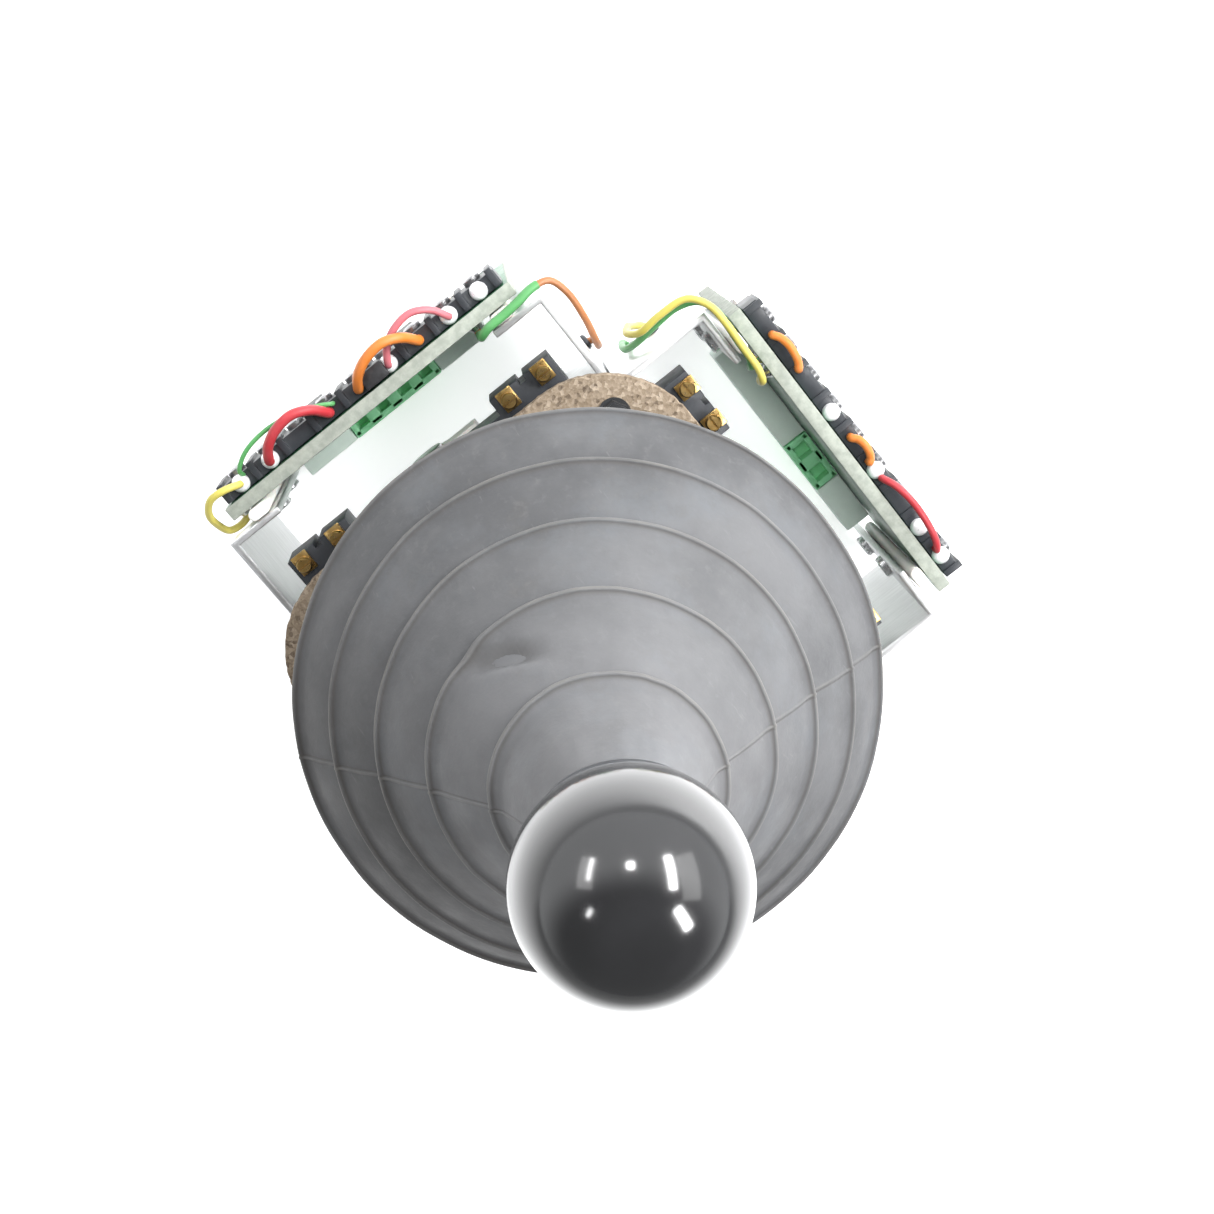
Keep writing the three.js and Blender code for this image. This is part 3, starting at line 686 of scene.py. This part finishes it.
def boot_shell(name, outer, inner):
    """A closed shell of rubber between its outside and its inside."""
    columns = boot_columns()
    points, lips, groove_shades, faces = [], [], [], []
    for ring, (radius, height, lip, groove_shade) in enumerate(outer + inner):
        shaped = ring < len(outer) and height > CLAMP_REACH
        for angle, offset, seam, shade in columns:
            reach = min(1.0, math.radians(1.5) * radius / 0.75)
            turn = angle + offset * reach / radius
            r, z = radius, height
            if shaped:
                move, dark = crease(turn, height)
                r += move
                shade = max(shade, dark)
                r += seam * (1.0 if lip < 0.5 else 0.5)
                spot = Vector((math.cos(turn), math.sin(turn), height / 60)) * 2.1
                r += 0.34 * noise.noise(spot) - 0.34 + 0.12 * noise.noise(spot * 3.1)
                z += 0.2 * noise.noise(spot + Vector((7, 3, 1)))
                r = min(r, RIDGE_RADIUS[0])
            points.append((r * math.cos(turn), r * math.sin(turn), z))
            # raised seams are lightened like lips: a painted highlight along each seam ridge
            lips.append(lip + seam * 2.6)
            # painted shade for the grooves, the seam flanks and the crease
            groove_shades.append(min(1.0, groove_shade + (shade if shaped else 0.0)))
    count, total = len(columns), len(outer) + len(inner)
    for ring in range(total):
        low, high = ring * count, ((ring + 1) % total) * count
        faces += [[low + i, low + (i + 1) % count, high + (i + 1) % count, high + i] for i in range(count)]
    piece = Shape((points, faces)).make(name, "boot_rubber", None, 75)
    mesh = piece.data
    for attribute, values in (("lip", lips), ("groove_shade", groove_shades)):
        mesh.attributes.new(attribute, "FLOAT", "POINT").data.foreach_set("value", values)
    rest = mesh.attributes.new("rest", "FLOAT_VECTOR", "POINT")
    rest.data.foreach_set("vector", [c * MM for p in points for c in p])
    return piece


def add_boot():
    lower, upper = boot_sections()
    inside = [(r - INNER_WALL, RIM_HEIGHT + rise - 0.5, 0, 0) for r, rise in zip(RIDGE_RADIUS, RIDGE_RISE)]
    foot = [(45, 81, 0, 0), (45, CLAMP_FOOT, 0, 0)]
    neck = [(5.4, NECK_FOOT, 0, 0), (9.6, NECK_FOOT, 0, 0)]
    boot_lower = boot_shell("boot_lower", lower, inside[SPLIT_TIER::-1] + foot)
    boot_upper = boot_shell("boot_upper", upper, neck + inside[:SPLIT_TIER - 1:-1])
    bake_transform(boot_lower)
    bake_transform(boot_upper)
    for piece in (boot_lower, boot_upper):
        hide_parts("rubber_boot")


add_boot()


# ---- knob, cup, clamp ring and plates
def add_knob():
    """The ball with its flat foot and bore, and the cup that it sits in."""
    start = math.acos((KNOB_HEIGHT - KNOB_FLAT) / KNOB_RADIUS)
    profile = [(0, 188), (4.3, 188), (4.3, KNOB_FLAT + 0.3), (4.6, KNOB_FLAT)]
    profile += [(KNOB_RADIUS * math.sin(start) - 0.3, KNOB_FLAT)]
    steps = 64
    for step in range(steps + 1):
        angle = start + (math.pi - start) * step / steps
        radius = 0 if step == steps else KNOB_RADIUS * math.sin(angle)
        profile.append((radius, KNOB_HEIGHT - KNOB_RADIUS * math.cos(angle)))
    Shape(turned(profile, 128)).make("knob_ball", "knob_black", "lever", replaced=["ball_knob"])
    inside = []
    for step in range(9):
        across = 16 - 7 * step / 8
        inside.append((across, KNOB_HEIGHT - math.sqrt((KNOB_RADIUS + 0.4) ** 2 - across**2)))
    cup = [(5.3, CUP_FOOT), (9.2, CUP_FOOT), (9.6, 168.9), (11.5, 171.6), (13.1, 174.3), (14.8, 177.1),
           (15.9, 179.0), (16.6, 180.6), (16.75, 181.4), (16.7, 182.0), (16.5, 182.2), (16.2, 182.1),
           *inside, (8.6, CUP_FOOT + 2), (5.3, CUP_FOOT + 2)]
    Shape(turned(cup, 96, True)).make("knob_cup_fine", "black_plastic", "lever", replaced=["knob_cup"])


def add_clamp_ring():
    """The ring that holds the boot's foot, and the four bolts of the mounting plate."""
    ring = [(47.3, CLAMP_FOOT), (50.3, CLAMP_FOOT), (50.5, 70.5), (50.5, 75.8), (50.2, 76.6), (49.4, 77.3),
            (48.9, CLAMP_TOP), (47.5, CLAMP_TOP), (47.3, 77.3)]
    clamp = Shape(turned(ring, 128, True))
    clamp.make("clamp_ring_fine", "black_paint", "base", replaced=["boot_clamp_ring"])
    bolts = Shape()
    washer = GASKET_TOP + 0.7
    for spot in BOLTS:
        axis = Matrix.Translation((*spot, 0))
        bolts.add(turned([(0, GASKET_TOP), (3.5, GASKET_TOP), (3.5, washer), (0, washer)], 32), axis)
        hex_head(bolts, Matrix.Translation((*spot, washer)), 3.1, 2.4)
        bolts.add(turned([(0, 62), (2.2, 62), (2.2, 70.2), (0, 70.2)], 24), axis)
    bolts.make("plate_bolts", "black_paint", "base")


def rounded_square(half, corner, ragged=0.0):
    """A square with round corners, cut a little unevenly when it is ragged."""
    outline = []
    straight, steps = half - corner, 14
    for quarter, (sx, sy) in enumerate(((1, 1), (-1, 1), (-1, -1), (1, -1))):
        for step in range(steps + 1):
            angle = math.pi / 2 * (quarter + step / steps)
            across, up = corner * math.cos(angle), corner * math.sin(angle)
            outline.append((sx * straight + across, sy * straight + up))
    if not ragged:
        return outline
    dense = []
    for (x0, y0), (x1, y1) in zip(outline, outline[1:] + outline[:1]):
        count = max(1, round(math.hypot(x1 - x0, y1 - y0) / 0.9))
        for step in range(count):
            x, y = x0 + (x1 - x0) * step / count, y0 + (y1 - y0) * step / count
            pull = ragged * (0.5 + 0.5 * noise.noise(Vector((x, y, 0)) * 0.9))
            away = 1 - pull / math.hypot(x, y)
            dense.append((x * away, y * away))
    return dense


def plate(name, loops, z0, z1, edge, finish, replaced):
    """A flat plate with a rounded edge, cut out of a filled outline with holes."""
    curve = bpy.data.curves.new(name, "CURVE")
    curve.dimensions = "2D"
    curve.fill_mode = "BOTH"
    for loop in loops:
        spline = curve.splines.new("POLY")
        spline.points.add(len(loop) - 1)
        spline.points.foreach_set("co", [c for x, y in loop for c in (x * MM, y * MM, 0, 1)])
        spline.use_cyclic_u = True
    curve.extrude = ((z1 - z0) / 2 - edge) * MM
    curve.bevel_depth = edge * MM
    curve.bevel_resolution = 2
    curve.offset = -edge * MM
    source = placed(name, curve)
    bpy.context.view_layer.update()
    mesh = bpy.data.meshes.new_from_object(source.evaluated_get(bpy.context.evaluated_depsgraph_get()))
    bpy.data.objects.remove(source)
    points = [(v.co.x / MM, v.co.y / MM, v.co.z / MM + (z0 + z1) / 2) for v in mesh.vertices]
    shape = Shape((points, [list(p.vertices) for p in mesh.polygons]))
    bpy.data.meshes.remove(mesh)
    shape.make(name, finish, "base", replaced=replaced)


add_knob()
add_clamp_ring()
bolt_holes = [circle(2.6, 24, *spot) for spot in BOLTS]
plate("gasket_fine", [rounded_square(51, 22.5, 0.45), circle(24, 72), *bolt_holes], GASKET_LOW, GASKET_TOP,
      0.25, "cork", ["cork_gasket"])
plate("mounting_plate_fine", [rounded_square(50, 22), circle(21, 72), *bolt_holes], PLATE_LOW, PLATE_TOP,
      0.5, "black_paint", ["mounting_plate"])

# ---- housing and gimbal parts
refined("housing", "casting", 0.5)
for name, edge in (("base_cover", 0.3), ("gate_plate", 0.3), ("pivot_block", 0.5), ("pivot_pin", 0.3),
                   ("lever_shaft", 0.3), ("gimbal_yoke", 0.4), ("slotted_bail", 0.3)):
    refined(name, "steel", edge)


# ---- the two electrical sides
SIDES = {"y": Matrix.Identity(4), "x": Matrix.Rotation(math.radians(-90), 4, "Z")}
BAYS = [(bay - 4) * BAY_PITCH for bay in range(9)]
WIRED_BAYS = {"y": (-32, -24, 8, 24, 32), "x": (-8, 8, 24, 32)}
BRIGHT_PLUG = {"y": (-12.2, 12.2), "x": (0.6, 13.4)}
SOLDER_DOME = [(0, 0), (1.0, 0), (0.85, 0.25), (0.45, 0.75), (0.3, 1.0), (0, 1.05)]


def add_board(axis, turn):
    """A thick glass-fibre board: green faces and a pale sawn edge."""
    half = BOARD_LENGTH / 2
    points, faces = cuboid((-half, BOARD_INNER, 4), (half, BOARD_OUTER, BOARD_TOP), 0.22)
    shape = Shape()
    shape.add((points, faces), turn)
    for index, face in enumerate(faces):
        depths = [points[corner][1] for corner in face]
        shape.finish[index] = 0 if max(depths) - min(depths) < 1e-4 else 1
    shape.make(f"board_{axis}_fine", ["board_green", "board_edge"], "base",
               replaced=[f"circuit_board_{axis}"])


def add_strip_details(axis, turn):
    """Tinned posts where wires are joined, and a screw in the face of every bay."""
    posts = Shape()
    screws = Shape()
    post = [(0, 0), (1.95, 0), (1.9, 0.5), (1.6, 1.05), (1.1, 1.4), (0.6, 1.55), (0, 1.6)]
    for bay in WIRED_BAYS[axis]:
        posts.add(turned(post, 32), turn @ Matrix.Translation((bay, BAY_DEPTH, STRIP_TOP)))
    for bay in BAYS:
        slotted_head(screws, turn @ pointing((bay, STRIP_FACE, 52.5), (0, 1, 0)), 2.0, 1.4)
    posts.make(f"strip_posts_{axis}", "post_white", "base", 60)
    screws.make(f"strip_screws_{axis}", "steel", "base")


def resistor(shape, spot):
    """Dumb-bell body with bent leads and colour bands. Finishes: body, lead, three bands."""
    half, radius = 3.2, 1.15
    end = [(0, half), (0.8, half), (radius, half - 0.6), (radius, half - 1.5), (radius * 0.84, half - 2.0)]
    body = [(across, -along) for across, along in end] + end[::-1]
    along = spot @ Matrix.Rotation(math.radians(90), 4, "Y")
    shape.add(turned(body, 20), along, 0)
    for band, offset in enumerate((-1.0, 0.0, 1.0)):
        ring = [(radius * 0.87, offset - 0.25), (radius * 0.9, offset - 0.2), (radius * 0.9, offset + 0.2),
                (radius * 0.87, offset + 0.25)]
        shape.add(turned(ring, 20), along, 2 + band)
    for side in (-1, 1):
        bends = ((0, 0), (1.0, 0), (1.5, -0.5), (1.5, -1.5))
        shape.add(sweep([Vector((side * (half + out), 0, up)) for out, up in bends], 0.3, 8), spot, 1)


def add_components(axis, turn):
    """Resistors, chips and solder on the board's outer face, below the strip."""
    resistors = Shape()
    for x in (-28, -2, 24):
        for z in (24, 28, 32):
            resistor(resistors, turn @ pointing((x, BOARD_OUTER + 1.5, z), (0, 1, 0)))
    bands = ["component_dark", "wire_red", "component_ochre"]
    resistors.make(f"resistors_{axis}", ["component_tan", "tin", *bands], "base")
    chips = Shape()
    for x in (-18, 8):
        chips.add(cuboid((x, BOARD_OUTER + 0.8, 24), (x + 6.4, BOARD_OUTER + 4.0, 40), 0.3), turn, 0)
        for pin in range(7):
            z = 26 + pin * 2
            for left in (x - 0.7, x + 6.4):
                low, high = (left, BOARD_OUTER, z - 0.3), (left + 0.7, BOARD_OUTER + 2.2, z + 0.3)
                chips.add(cuboid(low, high, 0.08, 1), turn, 1)
    chips.make(f"chips_{axis}", ["component_dark", "tin"], "base")
    solder = Shape()
    for x in range(-34, 35, 4):
        for z in (9, 13.5, 18):
            if noise.noise(Vector((x, z, 3)) * 0.37) > -0.1:
                solder.add(turned(SOLDER_DOME, 16), turn @ pointing((x, BOARD_OUTER, z), (0, 1, 0)))
    solder.make(f"solder_{axis}", "tin", "base", 60)


def add_fixings(axis, turn):
    """Screws that hold the bracket to the housing, and the board to the bracket."""
    screws = Shape()
    for x in (-31, 31):
        for z in (15, 32):
            slotted_head(screws, turn @ pointing((x, 43.8, z), (0, 1, 0)), 3.0, 1.9)
    for x in (-32.5, 32.5):
        for z in (16, 38):
            slotted_head(screws, turn @ pointing((x, 64.5, z), (0, -1, 0)), 2.6, 1.6)
            hex_head(screws, turn @ pointing((x, BOARD_OUTER, z), (0, 1, 0)), 3.0, 2.2)
    for x in (-15, 15):
        slotted_head(screws, turn @ Matrix.Translation((x, 47.8, 61.5)), 2.2, 1.3)
    screws.make(f"fixings_{axis}", "tin", "base")


def add_terminals(axis, turn):
    """A brass tab and its screw near each end of a contact block."""
    for place, x in enumerate((-32, -23, 23, 32), 1):
        shape = Shape()
        shape.add(cuboid((x - 1.9, 51.2, TERMINAL_TOP - 0.9), (x + 1.9, 55.8, TERMINAL_TOP), 0.2), turn)
        slotted_head(shape, turn @ Matrix.Translation((x, 53.3, TERMINAL_TOP)), 1.7, 1.9)
        shape.make(f"terminal_{axis}_{place}", "brass", "base",
                   replaced=[f"contact_terminal_{axis}_{place}"])


def add_plug(axis, turn):
    """A pale header along the board's foot with a bright plug pushed into part of it."""
    start, end = BRIGHT_PLUG[axis]
    high = BOARD_INNER - 0.3
    low = high - 6.3
    shape = Shape()
    for x0, x1 in ((-26, start - 0.2), (end + 0.2, 26)):
        shape.add(cuboid((x0, low, 8), (x1, high, 19.6), 0.35), turn, 0)
    shape.add(cuboid((start, low, 8), (end, low + 1.5, 20), 0.3), turn, 1)
    shape.add(cuboid((start, high - 1.5, 8), (end, high, 20), 0.3), turn, 1)
    shape.add(cuboid((start, low + 1.3, 8), (end, high - 1.3, 15.8), 0.2), turn, 1)
    poles = round((end - start) / 6.2)
    for wall in range(poles + 1):
        x = start + wall * (end - start) / poles
        left, right = max(x - 1.5, start), min(x + 1.5, end)
        shape.add(cuboid((left, low + 0.3, 9), (right, high - 0.3, 20), 0.25), turn, 1)
    shape.make(f"plug_{axis}_fine", ["header_pale", "plug_green"], "base", replaced=[f"board_plug_{axis}"])


def add_spring_cover(axis, turn):
    """A pressed cup with a stepped rim, a domed end and two ears."""
    outward = turn @ pointing((0, 0, PIVOT), (0, -1, 0))
    cup = [(18, 42.3), (20, 42.3), (20, 44.6), (20, 55.6), (19.7, 56.8), (19.0, 57.7), (18.0, 58.2),
           (14, 58.5), (7, 58.5), (6.4, 58.1), (0, 58.1), (0, 56.5), (16.8, 56.5), (17.7, 56.1), (18, 55.2)]
    shape = Shape()
    shape.add(turned(cup, 96, True), outward)
    shape.add(turned([(0, 49.4), (1.7, 49.3), (1.9, 49.5), (1.9, 56.8), (0, 56.8)], 24),
              turn @ pointing((0, 0, PIVOT + 14.5), (0, -1, 0)))
    for side in (-1, 1):
        outline = [(side * 18.6, -6), (side * 24.4, -6)]
        outline += [(side * (24.4 + 3.6 * math.sin(a)), -6 + 6 * (1 - math.cos(a)))
                    for a in (math.pi * i / 16 for i in range(1, 16))]
        outline += [(side * 24.4, 6), (side * 18.6, 6)]
        shape.add(prism(outline if side > 0 else outline[::-1], 42.3, 44.8), outward)
    shape.make(f"spring_cover_{axis}_fine", "black_plastic", "base", replaced=[f"spring_cover_{axis}"])
    screws = Shape()
    for x in (-23.5, 23.5):
        slotted_head(screws, turn @ pointing((x, -44.8, PIVOT), (0, -1, 0)), 2.8, 1.7)
    screws.make(f"cover_screws_{axis}", "steel", "base")


def add_spring(axis, turn):
    """A hairpin spring whose legs grip the fixed post above and the moving pin below it."""
    coil, first, last, coils = 5.7, -49.8, -54.2, 2.5
    points = [(2.75, first, 16.5), (4.2, first, 8.2)]
    for step in range(31):
        along = step / 30
        angle = -along * coils * math.pi * 2
        points.append((coil * math.cos(angle), first + (last - first) * along, coil * math.sin(angle)))
    points += [(-4.2, last, 8.2), (-2.75, last, 16.5)]
    path = smooth_path([turn @ Vector((x, y, z + PIVOT)) for x, y, z in points], 3)
    piece = Shape(sweep(path, 0.6, 10)).make(f"spring_{axis}_fine", "steel", None)
    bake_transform(piece)
    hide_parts(f"centring_spring_{axis}")


for axis, turn in SIDES.items():
    add_board(axis, turn)
    add_strip_details(axis, turn)
    add_components(axis, turn)
    add_fixings(axis, turn)
    add_terminals(axis, turn)
    add_plug(axis, turn)
    add_spring_cover(axis, turn)
    add_spring(axis, turn)
    for name, finish, edge in (
        ("bushing_{}_front", "brass", 0.2), ("bushing_{}_rear", "brass", 0.2),
        ("board_bracket_{}", "aluminium", 0.3), ("contact_block_{}", "black_plastic", 0.4),
        ("plunger_{}_1", "nylon", 0), ("plunger_{}_2", "nylon", 0), ("rocker_{}", "nylon", 0.4),
        ("centring_arm_{}", "steel", 0.3), ("board_spacer_{}_1", "nylon", 0.3),
        ("board_spacer_{}_2", "nylon", 0.3), ("wiring_strip_{}", "black_plastic", 0.2),
    ):
        refined(name.format(axis), finish, edge)


# ---- wires
def jumper(start, end, out, up):
    """An arch between two places along a strip, leaning out by a distance and up by a height."""
    span = end - start
    return [
        (start, BAY_DEPTH, WIRE_START),
        (start, BAY_DEPTH, WIRE_START + 1.5),
        (start + span * 0.12, BAY_DEPTH + out * 0.6, WIRE_START + up * 0.75),
        (start + span * 0.35, BAY_DEPTH + out, WIRE_START + up),
        (start + span * 0.65, BAY_DEPTH + out * 0.9, WIRE_START + up * 0.95),
        (end - span * 0.12, BAY_DEPTH + out * 0.5, WIRE_START + up * 0.7),
        (end, BAY_DEPTH, WIRE_START + 1.5),
        (end, BAY_DEPTH, WIRE_START),
    ]


YELLOW_LOOP = [
    (-32, 74.3, 58.3), (-32.1, 74.5, 60.2), (-35, 75.6, 61.9), (-38.6, 75.7, 61.2), (-41.4, 73.4, 58.8),
    (-42, 70.4, 56), (-41.3, 67.7, 53.6), (-38.6, 67.1, 52.6), (-36.7, 67.7, 52.4), (-36.5, 68.9, 52.4),
]
BROWN_WIRE = [
    (BROWN_PLACE, 68.9, LINK_HEIGHT), (BROWN_PLACE, 67.2, 55.9), (BROWN_PLACE, 66.6, 58.4), (27, 66.9, 61.2),
    (29, 67.5, 62.5), (32.5, 67.6, 62.7), (37, 67.9, 62.8), (41.4, 68.3, 62.4), (44.8, 67.2, 61.4),
    (46.2, 63, 60), (45.8, 56.5, 57.6), (44.8, 51.5, 53.5), (44.2, 48.6, 47), (44.3, 48.2, 40),
    (44, 48.8, 36.4), (42.4, 49.4, 35.6),
]
GREEN_WIRE = [
    (68.9, GREEN_PLACE, LINK_HEIGHT), (67.2, GREEN_PLACE, 55.9), (66.6, GREEN_PLACE, 58.4), (66.9, 27, 61.2),
    (67.5, 29, 62.5), (67.6, 32.5, 62.7), (67.9, 37, 62.8), (67.9, 41.2, 62.3), (66.2, 44.6, 61.2),
    (62, 46.2, 60), (56.5, 45.8, 57.6), (51.5, 44.8, 53.5), (48.4, 44.2, 47), (48, 44.3, 40),
    (48.6, 44, 35.4), (49.2, 42.4, 34.6),
]
YELLOW_WIRE = [
    (68.9, YELLOW_PLACE, LINK_HEIGHT), (67.2, YELLOW_PLACE, 55.9), (66.4, YELLOW_PLACE, 59),
    (66.8, 23.4, 62.6), (67.5, 26.4, 64.3), (67.7, 32, 64.6), (67.9, 38, 64.7), (67.4, 43, 64),
    (64.6, 46.8, 63), (58, 47.4, 61.6), (53, 46.8, 59.4), (50.6, 47.6, 54), (51.6, 47.8, 47),
    (52.4, 46.4, 40.6), (54.4, 44.4, 37.2), (55, 42.4, 37),
]
WIRES = {
    "pink_jumper_y": (jumper(24, 8, 5.6, 4.2), "wire_pink", WIRE_RADIUS),
    "orange_jumper_y": (jumper(16, 0, 4.6, 6.6), "wire_orange", THICK_RADIUS),
    "red_jumper_y": (jumper(-8, -24, 4.8, 6), "wire_red", THICK_RADIUS),
    "yellow_loop_y": (YELLOW_LOOP, "wire_yellow", WIRE_RADIUS),
    "brown_link_wire": (BROWN_WIRE, "wire_brown", WIRE_RADIUS),
    "green_link_wire": (GREEN_WIRE, "wire_green", WIRE_RADIUS),
    "yellow_link_wire": (YELLOW_WIRE, "wire_yellow", WIRE_RADIUS),
    "red_jumper_x": ([(y, x, z) for x, y, z in jumper(-10, -30, 1.9, 4.6)], "wire_red", WIRE_RADIUS),
}
for name, (route, finish, radius) in WIRES.items():
    Shape(sweep(smooth_path(route), radius, 14)).make(f"{name}_fine", finish, "base", 60, replaced=[name])


def add_small_wires():
    """A thin green arch and a black link on the Y strip, short orange links on the X strip, and a green
    sleeve on the brown wire."""
    arch = [(-30.4, 75.3, 58.2), (-30.2, 76.6, 60), (-26.5, 78.9, 61.2), (-20.5, 79.8, 61.4),
            (-14, 78.9, 61.2), (-8.4, 76.7, 60.2), (-6.3, 75.3, 59.4), (-6.2, 75.2, 58.2)]
    Shape(sweep(smooth_path(arch), 0.5, 12)).make("green_arch_y", "wire_green", "base", 60)
    link = Shape(cuboid((1.4, 72.8, 58.2), (7.2, 76.4, 61.2), 0.3))
    link.make("strip_link_y", "component_dark", "base")
    links = Shape()
    for start, end in ((29, 20), (1.2, -5.4)):
        links.add(sweep(smooth_path([(y, x, z) for x, y, z in jumper(start, end, 1.3, 2.6)]), 0.9, 12))
    links.make("orange_links_x", "wire_orange", "base", 60)
    sleeve = smooth_path(BROWN_WIRE)[8:52]
    Shape(sweep(sleeve, 0.98, 14)).make("link_sleeve", "wire_green", "base", 60)


add_small_wires()


def add_wire_ends():
    """A grommet where each link wire enters a bracket, and solder where a wire meets a board."""
    grommets = Shape()
    ring = [(1.0, 0), (1.7, 0), (1.9, 0.25), (1.7, 0.7), (1.3, 1.0), (1.0, 0.9)]
    for spot, away in (
        ((42, 49.4, 35.6), (1, 0, 0)), ((49.2, 42, 34.6), (0, 1, 0)), ((55, 42, 37), (0, 1, 0)),
    ):
        grommets.add(turned(ring, 28, True), pointing(spot, away))
    grommets.make("grommets", "black_plastic", "base", 60)
    joints = Shape()
    dome = [(0, 0), (1.7, 0), (1.5, 0.3), (1.1, 0.8), (0.9, 1.2), (0, 1.2)]
    for spot, away in (
        ((-36.5, BOARD_INNER, 52.4), (0, -1, 0)), ((BROWN_PLACE, BOARD_INNER, LINK_HEIGHT), (0, -1, 0)),
        ((BOARD_INNER, GREEN_PLACE, LINK_HEIGHT), (-1, 0, 0)),
        ((BOARD_INNER, YELLOW_PLACE, LINK_HEIGHT), (-1, 0, 0)),
    ):
        joints.add(turned(dome, 24), pointing(spot, away))
    joints.make("wire_solder", "tin", "base", 60)


add_wire_ends()


# ---- floor
def floor_finish():
    """A pale matt sweep with a faint glow that fills the shadows. Reflections of it are dimmer far away,
    and dark on the side nearest the viewer."""
    made = Finish("floor", Roughness=0.65, Emission_Color=(1, 1, 1, 1))
    seen = made.nodes.new("ShaderNodeLightPath")
    away = made.calculate("LENGTH", made.place, kind="ShaderNodeVectorMath")
    near_viewer = made.calculate("DOT_PRODUCT", made.place, (-0.62, -0.78, 0), kind="ShaderNodeVectorMath")
    dimming = made.calculate("MULTIPLY_ADD", made.range(near_viewer, 0.0, 0.5, 0.2, 0.7), 1.0,
                             made.range(away, 0.05, 0.2, 0.15, 0.55), clamp=True)
    reflected = made.calculate("MULTIPLY", dimming, seen.outputs["Is Glossy Ray"])
    pale = made.ramp(made.noise(3), ((0.3, (0.84, 0.845, 0.85)), (0.7, (0.86, 0.865, 0.87))))
    made.colour(made.mix(reflected, pale, (0.02, 0.02, 0.02)))
    made.link(made.range(reflected, 0.5, 0.0, 0.0, 1.0), made.shader.inputs["Emission Strength"])
    made.relief(made.noise(1800, 2), 0.01)
    return made.material


def add_floor():
    mesh = bpy.data.meshes.new("floor")
    half = 3.0
    corners = [(-half, -half, 0), (half, -half, 0), (half, half, 0), (-half, half, 0)]
    mesh.from_pydata(corners, [], [(0, 1, 2, 3)])
    floor = placed("floor", mesh)
    mesh.materials.append(floor_finish())


add_floor()
